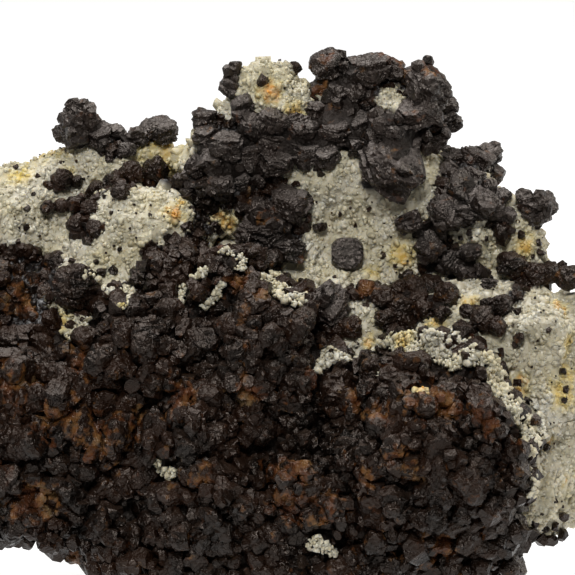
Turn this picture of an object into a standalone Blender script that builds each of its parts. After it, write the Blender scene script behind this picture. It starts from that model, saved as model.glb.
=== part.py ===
"""A bournonite and sphalerite specimen on its own quartz rock.

A hand-sized broken piece of sugary white quartz, with black bournonite crystals along its ridge and a
thick crust of small brown-black sphalerite crystals over its lower front.

Metres, +Z up, +X to the right, the show side faces -Y. The origin is the middle of the bottom of the
whole specimen's box.
"""

import math
import random

import bmesh
import bpy
from mathutils import Matrix, Vector, noise
from mathutils.bvhtree import BVHTree

MM = 0.001

# Driving dimensions
FRONT_WIDTH = 72 * MM
MIDDLE_HEIGHT = 40.0 * MM
GAP = 0.3 * MM
BASE_LEVEL = 0.0

# The show side is laid out on an upright sheet seen from a little above. A place on the sheet is given as
# steps across and down from its top left corner, and near is the distance in front of the sheet.
SHEET_STEPS = 575
SHEET_RISE = math.radians(12)
SHEET_REACH = 400 * MM
STEP = FRONT_WIDTH / SHEET_STEPS
SHEET_MIDDLE = SHEET_STEPS / 2
SEARCH_STEPS = 120

RIGHT = Vector((1, 0, 0))
TOWARDS = Vector((0, -math.cos(SHEET_RISE), math.sin(SHEET_RISE)))
UPWARD = Vector((0, math.sin(SHEET_RISE), math.cos(SHEET_RISE)))
MIDDLE = Vector((0, 0, MIDDLE_HEIGHT))

# Lumps of the quartz rock: across, down, near, then half width, half depth and half height in millimetres
ROCK_LUMPS = [
    (290, 430, -7, 27, 13, 23.5),
    (50, 365, -9, 17, 12, 17),
    (20, 234, -14, 16, 11, 10.4),
    (114, 174, -14, 9.6, 8, 5.5),
    (145, 226, -3, 7.5, 6, 5.0),
    (120, 290, -5, 12, 9, 9),
    (510, 424, -8, 14.5, 13, 16.0),
    (500, 335, -5, 13.5, 11, 6.3),
    (340, 215, -11, 14, 10, 16.5),
    (267, 84, -8, 5.0, 5, 4.8),
    (268, 118, -8, 6.4, 6, 4.6),
    (225, 175, -8, 6, 7, 7.2),
    (395, 112, -9, 6.0, 7, 5.8),
    (478, 222, -11, 6.6, 8, 8.6),
    (524, 243, -10, 3.9, 6, 6),
    (290, 390, -19, 30, 13, 26),
    (410, 300, -19, 17, 10, 19),
    (318, 550, -10, 22.5, 15, 11),
    (308, 498, -13, 28, 14, 13.5),
    (212, 560, -15, 9.5, 11, 10),
]
ROCK_VOXEL = 1.0 * MM
ROCK_FACES = 1400
ROCK_ROUGHNESS = 1.7 * MM
ROCK_SWELL = 9 * MM
ROCK_KNOBS = 3.4 * MM

# Hollows pressed into the rock: the same six values, the last being how deep
ROCK_HOLLOWS = [
    (350, 225, 0, 9, 14, 8, 3.0),
    (40, 268, -2, 4.5, 12, 3.5, 4.0),
    (460, 300, 6, 9, 9, 3.0, 1.6),
    (100, 205, 0, 6, 9, 2.5, 1.6),
]

# Broken faces of the back and the ends: a point on the sheet and the direction that the face looks in
BREAKS = [
    ((210, 400, -30.0), (-0.16, 1.0, -0.10)),
    ((330, 300, -28.5), (0.22, 1.0, 0.20)),
    ((20, 330, -20.5), (-0.62, 1.0, 0.12)),
    ((120, 250, -22.0), (-0.18, 1.0, 0.55)),
    ((520, 380, -21.5), (0.70, 1.0, 0.02)),
    ((330, 130, -17.5), (0.05, 0.9, 0.50)),
    ((470, 200, -18.5), (0.50, 0.9, 0.40)),
    ((300, 600, -24.0), (0.02, 0.9, -0.50)),
    ((612, 400, -6.0), (1.0, -0.30, -0.10)),
    ((565, 440, 1.5), (0.62, -0.78, -0.05)),
    ((596, 310, -8.0), (0.75, 0.10, 0.62)),
    ((-72, 300, -12.0), (-1.0, -0.15, 0.22)),
    ((30, 470, -16.0), (-0.66, 0.30, -0.75)),
    ((585, 500, -10.0), (0.55, 0.15, -0.80)),
]

# Lumps of the sphalerite crust over the lower front, in the same six values
CRUST_LUMPS = [
    (430, 450, 8, 12.6, 11, 11.8),
    (452, 530, 3, 8.4, 9, 6.6),
    (268, 352, 7, 7.0, 8, 8.6),
    (228, 290, 3, 6.6, 7, 4.8),
    (150, 345, 4, 8.2, 8, 6.6),
    (160, 272, 0, 4.2, 5, 4.2),
    (58, 412, 1, 12.6, 9, 11.6),
    (-40, 400, -4, 7.6, 9, 12),
    (-2, 298, -3, 4.4, 7, 4.6),
    (62, 505, -2, 10.4, 8, 5.2),
    (215, 500, 5, 8.2, 9, 8.6),
    (200, 425, 5, 7.6, 8.5, 7),
    (308, 488, 7, 6.2, 8, 6.8),
    (332, 405, 3, 6.2, 7, 6.2),
    (262, 445, 2, 5, 7, 5.5),
    (138, 470, 0, 4, 7, 8),
    (425, 375, 2, 10, 8, 4.2),
    (320, 556, 3, 14, 9, 5.0),
    (195, 560, 2, 8, 8, 4.6),
    (120, 540, 0, 5.6, 7, 3.4),
]
CRUST_VOXEL = 0.9 * MM
CRUST_FACES = 2130

# Bulges of the crust, then the flat-faced crystals on them; a sink is a share of the size
BULGE_COUNT = 62
BULGE_SIZE = (2.0 * MM, 3.4 * MM)
BULGE_SPACING = 5 * MM
BULGE_SINK = 0.35
GRAIN_COUNT = 100
GRAIN_SIZE = (1.7 * MM, 2.7 * MM)
GRAIN_SPACING = 4.2 * MM
GRAIN_RISE = 0.1
GRAIN_CLEARANCE = 0.6 * MM

# Crystals grown in groups: skin fineness, faces, how far each stands proud and its size allowance
CRYSTAL_VOXEL = 0.42 * MM
FACES_PER_CRYSTAL = 29
FACES_PER_GROUP = 40
CRYSTAL_PROUD = 0.5
CRYSTAL_ALLOWANCE = 1.12

# Shapes of one crystal, as shares of its radius
CUT_TIP_LENGTH = 2.3
RHOMB_CORNER = 0.62
RHOMB_TIP = 1.16
PLATE_RIM = 0.84
THREE_PLATES_FROM = 2.2 * MM

# The root under each crystal and the thin crust between neighbours, as shares of the crystal's size
ROOT_SIZE = 0.75
ROOT_DEPTH = 0.7
LINK_SIZE = 0.55
LINK_STEP = 0.8
LINK_RISE = 0.25
THINNEST_LINK = 0.8 * MM

# The opening near the left lower edge, right through the crust: across, down, near and half sizes
LEFT_OPENING = (86, 525, -2 * MM)
LEFT_OPENING_SIZE = (1.75 * MM, 16 * MM, 0.9 * MM)

# The square tablet: across, down, then half width, half thickness and edge trim
TABLET_PLACE = (347, 255)
TABLET_HALF_WIDTH = 2.1 * MM
TABLET_HALF_THICKNESS = 1.3 * MM
TABLET_TRIM = 0.45 * MM
TABLET_PROUD = 0.78 * MM
TABLET_LEAN = math.radians(14)

# Crystals of each group: across, down and radius in steps of the sheet
RIDGE_LEFT = [
    (80, 125, 21), (100, 136, 16), (64, 133, 11), (118, 134, 9), (136, 138, 12), (163, 131, 16),
    (149, 129, 11), (125, 151, 9),
]
BAND_LEFT = [
    (96, 192, 11), (112, 182, 9), (121, 191, 9), (131, 173, 13), (155, 170, 14), (148, 184, 8),
    (168, 185, 9),
]
PATCH_LEDGE = [
    (48, 207, 8), (62, 206, 8), (75, 204, 9), (91, 208, 9), (77, 224, 11), (95, 228, 9),
]
PATCH_BACK_LEDGE = [(62, 180, 12), (77, 181, 7), (51, 186, 5)]
CRYSTAL_LEFT = [(76, 285, 23)]
CROWN = [
    (205, 119, 13), (206, 137, 14), (230, 88, 12), (236, 68, 8), (243, 106, 13), (226, 148, 17),
    (220, 183, 14), (198, 166, 12), (188, 194, 10), (252, 127, 13), (272, 122, 15), (296, 128, 15),
    (247, 156, 15), (275, 160, 17), (304, 152, 16), (272, 142, 13), (328, 66, 18), (320, 90, 14),
    (341, 93, 17), (361, 94, 12), (352, 68, 13), (372, 70, 19), (393, 68, 12), (412, 77, 13), (428, 86, 25),
    (418, 113, 20), (449, 104, 10), (449, 122, 13), (335, 131, 19), (362, 122, 15), (387, 130, 22),
    (388, 168, 31), (358, 146, 13), (315, 112, 12), (326, 156, 14), (240, 180, 11), (258, 178, 10),
    (408, 142, 14), (437, 138, 12), (212, 160, 12),
]
CLUSTER_CENTRE = [
    (290, 206, 19), (262, 231, 25), (262, 212, 15), (289, 250, 18), (266, 262, 12), (241, 207, 7),
]
CRYSTAL_HOLLOW = [(330, 303, 20)]
CLUSTER_RIGHT = [
    (475, 160, 17), (451, 159, 12), (491, 153, 11), (446, 172, 9), (462, 191, 19), (446, 214, 18),
    (481, 205, 17), (500, 196, 11), (507, 215, 9), (427, 248, 16), (408, 222, 13), (436, 232, 12),
    (450, 262, 14), (470, 252, 11), (471, 275, 14), (489, 284, 9), (472, 178, 13), (492, 173, 12),
    (462, 214, 14), (495, 211, 11),
]
KNOB_RIGHT = [(534, 208, 19), (545, 200, 9), (525, 197, 9)]
ROW_RIGHT = [
    (511, 264, 14), (530, 275, 15), (546, 273, 13), (568, 277, 13), (590, 282, 14), (518, 283, 9),
]
CLUSTER_LEDGE = [
    (366, 288, 11), (383, 298, 13), (399, 307, 13), (398, 290, 11), (413, 288, 13), (431, 286, 13),
    (446, 296, 14), (385, 318, 11), (404, 323, 12), (424, 310, 13), (441, 314, 9), (418, 300, 11),
]
PATCH_RIGHT_LEDGE = [(482, 319, 14), (501, 306, 12), (497, 327, 10), (468, 311, 8), (488, 306, 9)]

# Crystals on the broken back, placed on the same sheet and seated from behind
PATCH_BACK_LOW = [
    (120, 380, 16), (141, 396, 14), (128, 415, 12), (160, 412, 17), (182, 398, 12), (178, 428, 13),
    (150, 437, 11),
]
PATCH_BACK_HIGH = [(404, 250, 17), (425, 268, 14), (398, 280, 12), (420, 234, 11), (442, 254, 10)]

QUARTZ_COLOUR = (0.66, 0.62, 0.52)
BOURNONITE_COLOUR = (0.055, 0.05, 0.05)
SPHALERITE_COLOUR = (0.04, 0.024, 0.016)


def picture_point(across, down, near):
    """The point at a place on the sheet, moved along the line of sight to stand near in front of it."""
    offset = RIGHT * ((across - SHEET_MIDDLE) * STEP) + UPWARD * ((SHEET_MIDDLE - down) * STEP)
    return MIDDLE + offset * (1 - near / SHEET_REACH) + TOWARDS * near


def sheet_matrix(point):
    """A frame at the point: X to the right, Y away from the eye, Z up the sheet."""
    turn = Matrix((RIGHT, -TOWARDS, UPWARD)).transposed().to_4x4()
    return Matrix.Translation(point) @ turn


def new_object(name, bm):
    """Turn a bmesh into a named object."""
    mesh = bpy.data.meshes.new(name)
    bm.to_mesh(mesh)
    bm.free()
    made = bpy.data.objects.new(name, mesh)
    bpy.context.collection.objects.link(made)
    return made


def settle(thing):
    """Apply an object's modifiers to its mesh."""
    graph = bpy.context.evaluated_depsgraph_get()
    mesh = bpy.data.meshes.new_from_object(thing.evaluated_get(graph))
    thing.modifiers.clear()
    old = thing.data
    thing.data = mesh
    bpy.data.meshes.remove(old)


def remove(thing):
    """Delete a helper object with its mesh."""
    mesh = thing.data
    bpy.data.objects.remove(thing)
    bpy.data.meshes.remove(mesh)


def add_ellipsoid(bm, matrix, half_sizes, detail=3):
    """Add a closed ellipsoid with the given half sizes along the matrix's axes."""
    sizes = Matrix.Diagonal((*half_sizes, 1))
    bmesh.ops.create_icosphere(bm, subdivisions=detail, radius=1, matrix=matrix @ sizes)


def add_lumps(bm, lumps):
    """Add ellipsoids listed as places on the sheet with half sizes in millimetres."""
    for across, down, near, width, depth, height in lumps:
        point = picture_point(across, down, near * MM)
        add_ellipsoid(bm, sheet_matrix(point), (width * MM, depth * MM, height * MM))


def melt(thing, voxel, smoothing):
    """Merge overlapping lumps into one even skin."""
    remesh = thing.modifiers.new("melt", 'REMESH')
    remesh.mode = 'VOXEL'
    remesh.voxel_size = voxel
    smooth = thing.modifiers.new("smooth", 'SMOOTH')
    smooth.iterations = smoothing
    settle(thing)


def thin_out(thing, faces):
    """Reduce a dense skin to about the given number of triangles."""
    thin = thing.modifiers.new("thin", 'DECIMATE')
    thing.data.calc_loop_triangles()
    thin.ratio = faces / len(thing.data.loop_triangles)
    thin.use_collapse_triangulate = True
    settle(thing)


def roughen(thing, height, reach, offset):
    """Push the skin in and out with two sizes of noise."""
    bm = bmesh.new()
    bm.from_mesh(thing.data)
    bm.normal_update()
    moves = []
    for vert in bm.verts:
        coarse = noise.noise(vert.co / reach + offset)
        fine = noise.noise(vert.co * 2.6 / reach + offset * 2)
        moves.append(vert.normal * height * (coarse + 0.5 * fine))
    for vert, move in zip(bm.verts, moves):
        vert.co += move
    bm.to_mesh(thing.data)
    bm.free()


def press_hollows(thing, hollows):
    """Press soft hollows into the skin, away from the eye."""
    bm = bmesh.new()
    bm.from_mesh(thing.data)
    for across, down, near, width, depth, height, deep in hollows:
        point = picture_point(across, down, near * MM)
        inverse = sheet_matrix(point).inverted()
        for vert in bm.verts:
            place = inverse @ vert.co
            far = math.hypot(place.x / width, place.y / depth, place.z / height) / MM
            if far < 1:
                vert.co -= TOWARDS * deep * MM * (1 - far * far) ** 2
    bm.to_mesh(thing.data)
    bm.free()


def cut_flat(thing, point, outward):
    """Cut everything beyond a plane off and close the cut."""
    bm = bmesh.new()
    bm.from_mesh(thing.data)
    whole = bm.verts[:] + bm.edges[:] + bm.faces[:]
    cut = bmesh.ops.bisect_plane(
        bm, geom=whole, dist=1e-7, plane_co=point, plane_no=outward, clear_outer=True
    )
    rim = [item for item in cut["geom_cut"] if isinstance(item, bmesh.types.BMEdge)]
    bmesh.ops.triangle_fill(bm, use_beauty=True, use_dissolve=False, edges=rim)
    bmesh.ops.recalc_face_normals(bm, faces=bm.faces[:])
    bm.to_mesh(thing.data)
    bm.free()


def tree_of(thing):
    """A search tree of an object's triangles."""
    bm = bmesh.new()
    bm.from_mesh(thing.data)
    tree = BVHTree.FromBMesh(bm)
    bm.free()
    return tree


def seat(tree, across, down, side):
    """Where a line of sight meets the skin, or stands over it beyond its outline.

    The side is 1 for the show side and -1 for the back, which is looked at from behind.
    """
    eye = MIDDLE + TOWARDS * SHEET_REACH * side
    for lower in range(0, SEARCH_STEPS, 2):
        aim = picture_point(across, down + lower, 0)
        hit = tree.ray_cast(eye, (aim - eye).normalized())[0]
        if hit is not None:
            near = (hit - MIDDLE).dot(TOWARDS)
            return picture_point(across, down, near)
    raise ValueError("no rock below this place")


def tetrahedron_points():
    """The twelve corners of a tetrahedron with its tips cut."""
    points = []
    for signs in ((1, 1, 1), (1, -1, -1), (-1, 1, -1), (-1, -1, 1)):
        for long_axis in range(3):
            values = [1.0, 1.0, 1.0]
            values[long_axis] = CUT_TIP_LENGTH
            points.append(Vector(a * b for a, b in zip(signs, values)).normalized())
    return points


def dodecahedron_points():
    """The fourteen corners of a twelve-faced crystal of rhombs."""
    signs = (-1, 1)
    points = [Vector((x, y, z)) * RHOMB_CORNER for x in signs for y in signs for z in signs]
    for axis in range(3):
        for sign in signs:
            tip = Vector((0, 0, 0))
            tip[axis] = sign * RHOMB_TIP
            points.append(tip)
    return points


def random_turn(rng):
    """A rotation with no preferred direction."""
    axis = Vector((rng.gauss(0, 1), rng.gauss(0, 1), rng.gauss(0, 1))).normalized()
    return Matrix.Rotation(rng.uniform(0, math.tau), 4, axis)


def add_hull(bm, points, matrix):
    """Add the closed hull of some points."""
    verts = [bm.verts.new(matrix @ point) for point in points]
    made = bmesh.ops.convex_hull(bm, input=verts, use_existing_faces=False)
    loose = [item for item in made["geom_interior"] if isinstance(item, bmesh.types.BMVert)]
    bmesh.ops.delete(bm, geom=loose, context='VERTS')


def add_grain(bm, point, radius, rng):
    """Add one small sphalerite crystal, a cut tetrahedron or a rhombic one."""
    shape = tetrahedron_points() if rng.random() < 0.5 else dodecahedron_points()
    spread = Matrix.Diagonal((rng.uniform(0.85, 1.12), rng.uniform(0.85, 1.12), rng.uniform(0.8, 1.0), 1))
    sized = Matrix.Translation(point) @ random_turn(rng) @ spread @ Matrix.Scale(radius, 4)
    add_hull(bm, shape, sized)


def plate_outline(rng, corners):
    """Corner directions of a bevelled plate, near to evenly spread."""
    turn = rng.uniform(0, math.tau)
    outline = []
    for corner in range(corners):
        angle = turn + math.tau * (corner + rng.uniform(-0.18, 0.18)) / corners
        outline.append((math.cos(angle), math.sin(angle)))
    return outline


def add_stack(bm, matrix, rings):
    """Add a closed stack of rings with equal counts of corners, each given as a list of places."""
    made = [[bm.verts.new(matrix @ Vector(place)) for place in ring] for ring in rings]
    for lower, upper in zip(made, made[1:]):
        for corner in range(len(lower)):
            after = (corner + 1) % len(lower)
            bm.faces.new((lower[corner], lower[after], upper[after], upper[corner]))
    bm.faces.new(reversed(made[0]))
    bm.faces.new(made[-1])


def add_plates(bm, point, radius, rng):
    """Add one short bournonite crystal: a stack of two or three stepped plates."""
    outline = plate_outline(rng, rng.choice((6, 7, 8)))
    plates = 3 if radius > THREE_PLATES_FROM else 2
    half = radius * rng.uniform(0.72, 0.9)
    levels = [-half + 2 * half * step / plates for step in range(plates + 1)]
    rings = []
    for plate in range(plates):
        width = radius * rng.uniform(0.82, 1.02)
        middle = (rng.uniform(-0.1, 0.1) * radius, rng.uniform(-0.1, 0.1) * radius)
        for level in levels[plate:plate + 2]:
            reach = width * (PLATE_RIM if level in (levels[0], levels[-1]) else 1.0)
            rings.append([(middle[0] + x * reach, middle[1] + y * reach, level) for x, y in outline])
    lean = Matrix.Rotation(rng.uniform(-0.7, 0.7), 4, 'X') @ Matrix.Rotation(rng.uniform(-0.8, 0.8), 4, 'Y')
    add_stack(bm, Matrix.Translation(point) @ lean, rings)


def build_tablet(rock_tree):
    """The single square bournonite tablet in the hollow, leaning back, with trimmed edges."""
    point = seat(rock_tree, *TABLET_PLACE, 1) + TOWARDS * TABLET_PROUD
    lean = Matrix.Rotation(TABLET_LEAN, 4, 'X') @ Matrix.Rotation(math.radians(90), 4, 'X')
    face = (TABLET_HALF_WIDTH - TABLET_TRIM, TABLET_TRIM * 2, TABLET_HALF_THICKNESS)
    rim = (TABLET_HALF_WIDTH, TABLET_TRIM, TABLET_HALF_THICKNESS - TABLET_TRIM)
    rings = []
    for side, (wide, corner, deep) in ((-1, face), (-1, rim), (1, rim), (1, face)):
        ring = []
        for quarter in range(4):
            turn = Matrix.Rotation(math.radians(90 * quarter), 4, 'Z')
            ring.append(turn @ Vector((wide, corner - wide, side * deep)))
            ring.append(turn @ Vector((wide, wide - corner, side * deep)))
        rings.append(ring)
    bm = bmesh.new()
    add_stack(bm, sheet_matrix(point) @ lean, rings)
    return new_object("bournonite_tablet", bm)


def build_opening():
    """The tool for the opening near the left lower edge."""
    across, down, near = LEFT_OPENING
    bm = bmesh.new()
    add_ellipsoid(bm, sheet_matrix(picture_point(across, down, near)), LEFT_OPENING_SIZE, 2)
    return new_object("opening", bm)


def carve(thing, tool):
    """Cut the tool's space out of an object."""
    cut = thing.modifiers.new("carve", 'BOOLEAN')
    cut.operation = 'DIFFERENCE'
    cut.solver = 'EXACT'
    cut.object = tool
    settle(thing)


def grown(thing, distance):
    """A copy of an object's skin moved outward, to cut its neighbours clear of it."""
    bm = bmesh.new()
    bm.from_mesh(thing.data)
    bm.normal_update()
    moves = [vert.normal * distance for vert in bm.verts]
    for vert, move in zip(bm.verts, moves):
        vert.co += move
    made = new_object("clearance", bm)
    made.hide_render = True
    made.display_type = 'WIRE'
    return made


def give_way(thing, neighbour):
    """Cut an object clear of a neighbour that it would otherwise touch or overlap."""
    clearance = grown(neighbour, GAP)
    if tree_of(thing).overlap(tree_of(clearance)):
        carve(thing, clearance)
    remove(clearance)


def keep_largest(thing):
    """Keep the largest connected body and drop crumbs that a cut left loose."""
    bm = bmesh.new()
    bm.from_mesh(thing.data)
    bmesh.ops.remove_doubles(bm, verts=bm.verts[:], dist=2e-6)
    bmesh.ops.dissolve_degenerate(bm, dist=1e-6, edges=bm.edges[:])
    left = set(bm.verts)
    bodies = []
    while left:
        front = [left.pop()]
        body = set(front)
        while front:
            vert = front.pop()
            for edge in vert.link_edges:
                other = edge.other_vert(vert)
                if other not in body:
                    body.add(other)
                    left.discard(other)
                    front.append(other)
        bodies.append(body)
    bodies.sort(key=len)
    for body in bodies[:-1]:
        bmesh.ops.delete(bm, geom=list(body), context='VERTS')
    bmesh.ops.triangulate(bm, faces=bm.faces[:])
    bm.to_mesh(thing.data)
    bm.free()


def build_rock():
    """The quartz rock: merged lumps, hollowed, broken off at the back, roughened and flat below."""
    bm = bmesh.new()
    add_lumps(bm, ROCK_LUMPS)
    rock = new_object("quartz_matrix", bm)
    melt(rock, ROCK_VOXEL, 3)
    press_hollows(rock, ROCK_HOLLOWS)
    for place, outward in BREAKS:
        across, down, near = place
        cut_flat(rock, picture_point(across, down, near * MM), Vector(outward).normalized())
    melt(rock, ROCK_VOXEL, 1)
    roughen(rock, ROCK_ROUGHNESS, ROCK_SWELL, Vector((3.1, 7.7, 1.3)))
    roughen(rock, ROCK_ROUGHNESS * 0.4, ROCK_KNOBS, Vector((8.4, 2.2, 5.9)))
    thin_out(rock, ROCK_FACES)
    cut_flat(rock, Vector((0, 0, BASE_LEVEL)), Vector((0, 0, -1)))
    return rock


def surface_samples(thing, rng, count):
    """Random points over an object's skin, with the outward direction at each."""
    thing.data.calc_loop_triangles()
    triangles = thing.data.loop_triangles
    corners = [vert.co.copy() for vert in thing.data.vertices]
    chosen = rng.choices(triangles, weights=[triangle.area for triangle in triangles], k=count)
    samples = []
    for triangle in chosen:
        a, b, c = (corners[index] for index in triangle.vertices)
        u, v = rng.random(), rng.random()
        if u + v > 1:
            u, v = 1 - u, 1 - v
        samples.append((a + (b - a) * u + (c - a) * v, triangle.normal.copy()))
    return samples


def inside(tree, point, distance):
    """Whether a point is inside a closed skin or within a distance of it."""
    near, facing = tree.find_nearest(point)[:2]
    return (point - near).dot(facing) < 0 or (point - near).length < distance


def spread_out(samples, spacing, limit):
    """Keep samples that are no closer together than the spacing, up to a limit."""
    kept = []
    for point, facing in samples:
        if all((point - other).length > spacing for other, _ in kept):
            kept.append((point, facing))
        if len(kept) == limit:
            break
    return kept


def build_crust(rock_tree):
    """The sphalerite crust over the lower front: lumps, bulges and flat-faced crystals as one body."""
    rng = random.Random(41)
    bm = bmesh.new()
    add_lumps(bm, CRUST_LUMPS)
    crust = new_object("sphalerite_crust_front", bm)
    melt(crust, CRUST_VOXEL, 2)
    samples = surface_samples(crust, rng, 900)
    samples = [sample for sample in samples if not inside(rock_tree, sample[0], 0)]
    bm = bmesh.new()
    bm.from_mesh(crust.data)
    for point, facing in spread_out(samples, BULGE_SPACING, BULGE_COUNT):
        size = rng.uniform(*BULGE_SIZE)
        add_ellipsoid(bm, Matrix.Translation(point - facing * size * BULGE_SINK), (size, size, size), 2)
    bm.to_mesh(crust.data)
    bm.free()
    melt(crust, CRUST_VOXEL, 1)
    samples = surface_samples(crust, rng, 4000)
    samples = [sample for sample in samples if not inside(rock_tree, sample[0], GRAIN_CLEARANCE)]
    bm = bmesh.new()
    bm.from_mesh(crust.data)
    for point, facing in spread_out(samples, GRAIN_SPACING, GRAIN_COUNT):
        size = rng.uniform(*GRAIN_SIZE)
        add_grain(bm, point + facing * size * GRAIN_RISE, size, rng)
    bm.to_mesh(crust.data)
    bm.free()
    melt(crust, CRYSTAL_VOXEL, 0)
    thin_out(crust, CRUST_FACES)
    return crust


def shortest_links(seats):
    """Pairs of neighbouring crystals that tie the whole group together."""
    tied = {0}
    links = []
    while len(tied) < len(seats):
        pairs = [(a, b) for a in tied for b in range(len(seats)) if b not in tied]
        best = min(pairs, key=lambda pair: (seats[pair[0]][0] - seats[pair[1]][0]).length)
        links.append(best)
        tied.add(best[1])
    return links


def build_group(name, rock_tree, crystals, add_crystal, seed, side):
    """A group of crystals grown together on a thin crust that follows the rock between them."""
    rng = random.Random(seed)
    outward = TOWARDS * side
    seats = []
    for across, down, radius in crystals:
        point = seat(rock_tree, across, down, side)
        size = radius * STEP * CRYSTAL_ALLOWANCE
        seats.append((point + outward * size * CRYSTAL_PROUD, size))
    bm = bmesh.new()
    for point, size in seats:
        add_crystal(bm, point, size, rng)
    if len(crystals) == 1:
        return new_object(name, bm)
    for point, size in seats:
        root = size * ROOT_SIZE
        add_ellipsoid(bm, Matrix.Translation(point - outward * size * ROOT_DEPTH), (root, root, root), 2)
    for first, second in shortest_links(seats):
        size = max(min(seats[first][1], seats[second][1]) * LINK_SIZE, THINNEST_LINK)
        steps = math.ceil((seats[first][0] - seats[second][0]).length / (size * LINK_STEP))
        for step in range(1, steps):
            share = step / steps
            across = crystals[first][0] * (1 - share) + crystals[second][0] * share
            down = crystals[first][1] * (1 - share) + crystals[second][1] * share
            point = seat(rock_tree, across, down, side) + outward * size * LINK_RISE
            add_ellipsoid(bm, Matrix.Translation(point), (size, size, size), 2)
    group = new_object(name, bm)
    melt(group, CRYSTAL_VOXEL, 0)
    thin_out(group, FACES_PER_CRYSTAL * len(crystals) + FACES_PER_GROUP)
    return group


def material(name, colour, roughness, metallic):
    """A plain surface material."""
    made = bpy.data.materials.new(name)
    made.use_nodes = True
    surface = made.node_tree.nodes["Principled BSDF"]
    surface.inputs["Base Color"].default_value = (*colour, 1)
    surface.inputs["Roughness"].default_value = roughness
    surface.inputs["Metallic"].default_value = metallic
    return made


def stand_on_origin(pieces):
    """Hang all pieces on one empty, placed so that the middle of the bottom of their box is the origin."""
    corners = [vert.co for piece in pieces for vert in piece.data.vertices]
    lows = [min(corner[axis] for corner in corners) for axis in range(3)]
    highs = [max(corner[axis] for corner in corners) for axis in range(3)]
    specimen = bpy.data.objects.new("specimen", None)
    bpy.context.collection.objects.link(specimen)
    specimen.location = ((lows[0] + highs[0]) / -2, (lows[1] + highs[1]) / -2, -lows[2])
    for piece in pieces:
        piece.parent = specimen


def main():
    """Build the rock, the crust and each crystal group, then stand the specimen on its base."""
    for thing in list(bpy.data.objects):
        bpy.data.objects.remove(thing)
    quartz = material("quartz", QUARTZ_COLOUR, 0.6, 0.0)
    bournonite = material("bournonite", BOURNONITE_COLOUR, 0.4, 0.3)
    sphalerite = material("sphalerite", SPHALERITE_COLOUR, 0.42, 0.0)

    rock = build_rock()
    rock_tree = tree_of(rock)
    crust = build_crust(rock_tree)
    tablet = build_tablet(rock_tree)
    rock.data.materials.append(quartz)
    crust.data.materials.append(sphalerite)
    tablet.data.materials.append(bournonite)
    groups = [
        ("bournonite_ridge_left", RIDGE_LEFT, add_plates, bournonite, 1),
        ("sphalerite_band_left", BAND_LEFT, add_grain, sphalerite, 1),
        ("sphalerite_patch_ledge", PATCH_LEDGE, add_grain, sphalerite, 1),
        ("sphalerite_patch_back_ledge", PATCH_BACK_LEDGE, add_grain, sphalerite, 1),
        ("sphalerite_crystal_left", CRYSTAL_LEFT, add_grain, sphalerite, 1),
        ("bournonite_crown", CROWN, add_plates, bournonite, 1),
        ("bournonite_cluster_centre", CLUSTER_CENTRE, add_plates, bournonite, 1),
        ("bournonite_crystal_hollow", CRYSTAL_HOLLOW, add_plates, bournonite, 1),
        ("bournonite_cluster_right", CLUSTER_RIGHT, add_plates, bournonite, 1),
        ("bournonite_knob_right", KNOB_RIGHT, add_plates, bournonite, 1),
        ("sphalerite_row_right", ROW_RIGHT, add_grain, sphalerite, 1),
        ("sphalerite_cluster_ledge", CLUSTER_LEDGE, add_grain, sphalerite, 1),
        ("sphalerite_patch_right_ledge", PATCH_RIGHT_LEDGE, add_grain, sphalerite, 1),
        ("sphalerite_patch_back_low", PATCH_BACK_LOW, add_grain, sphalerite, -1),
        ("sphalerite_patch_back_high", PATCH_BACK_HIGH, add_grain, sphalerite, -1),
    ]
    grown_pieces = [crust, tablet]
    for seed, (name, crystals, add_crystal, finish, side) in enumerate(groups):
        group = build_group(name, rock_tree, crystals, add_crystal, seed, side)
        group.data.materials.append(finish)
        grown_pieces.append(group)
    for index, piece in enumerate(grown_pieces):
        for neighbour in grown_pieces[index + 1:]:
            give_way(piece, neighbour)
        give_way(piece, rock)
        keep_largest(piece)
    opening = build_opening()
    carve(crust, opening)
    remove(opening)
    stand_on_origin([rock, *grown_pieces])


main()
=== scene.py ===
"""Looks of the bournonite and sphalerite specimen: sugary quartz, stepped black crystals, brown crust."""

import itertools
import math

import bmesh
import bpy
import numpy as np
from mathutils import Matrix, Vector, noise
from mathutils.bvhtree import BVHTree
from mathutils.kdtree import KDTree


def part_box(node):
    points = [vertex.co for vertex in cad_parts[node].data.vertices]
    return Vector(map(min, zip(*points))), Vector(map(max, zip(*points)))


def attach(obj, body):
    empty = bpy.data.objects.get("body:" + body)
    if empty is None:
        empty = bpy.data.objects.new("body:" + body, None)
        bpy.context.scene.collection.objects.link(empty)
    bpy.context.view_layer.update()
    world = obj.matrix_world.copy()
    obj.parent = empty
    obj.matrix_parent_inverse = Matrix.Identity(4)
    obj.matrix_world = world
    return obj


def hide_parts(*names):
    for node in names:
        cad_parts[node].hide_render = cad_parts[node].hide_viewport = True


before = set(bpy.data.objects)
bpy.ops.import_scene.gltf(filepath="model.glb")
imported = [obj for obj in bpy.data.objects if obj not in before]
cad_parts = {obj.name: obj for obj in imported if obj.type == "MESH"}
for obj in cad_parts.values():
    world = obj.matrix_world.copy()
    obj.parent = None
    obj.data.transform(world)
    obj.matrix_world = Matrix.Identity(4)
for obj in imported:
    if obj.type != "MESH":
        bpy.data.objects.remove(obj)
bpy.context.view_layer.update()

MM = 0.001

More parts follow.
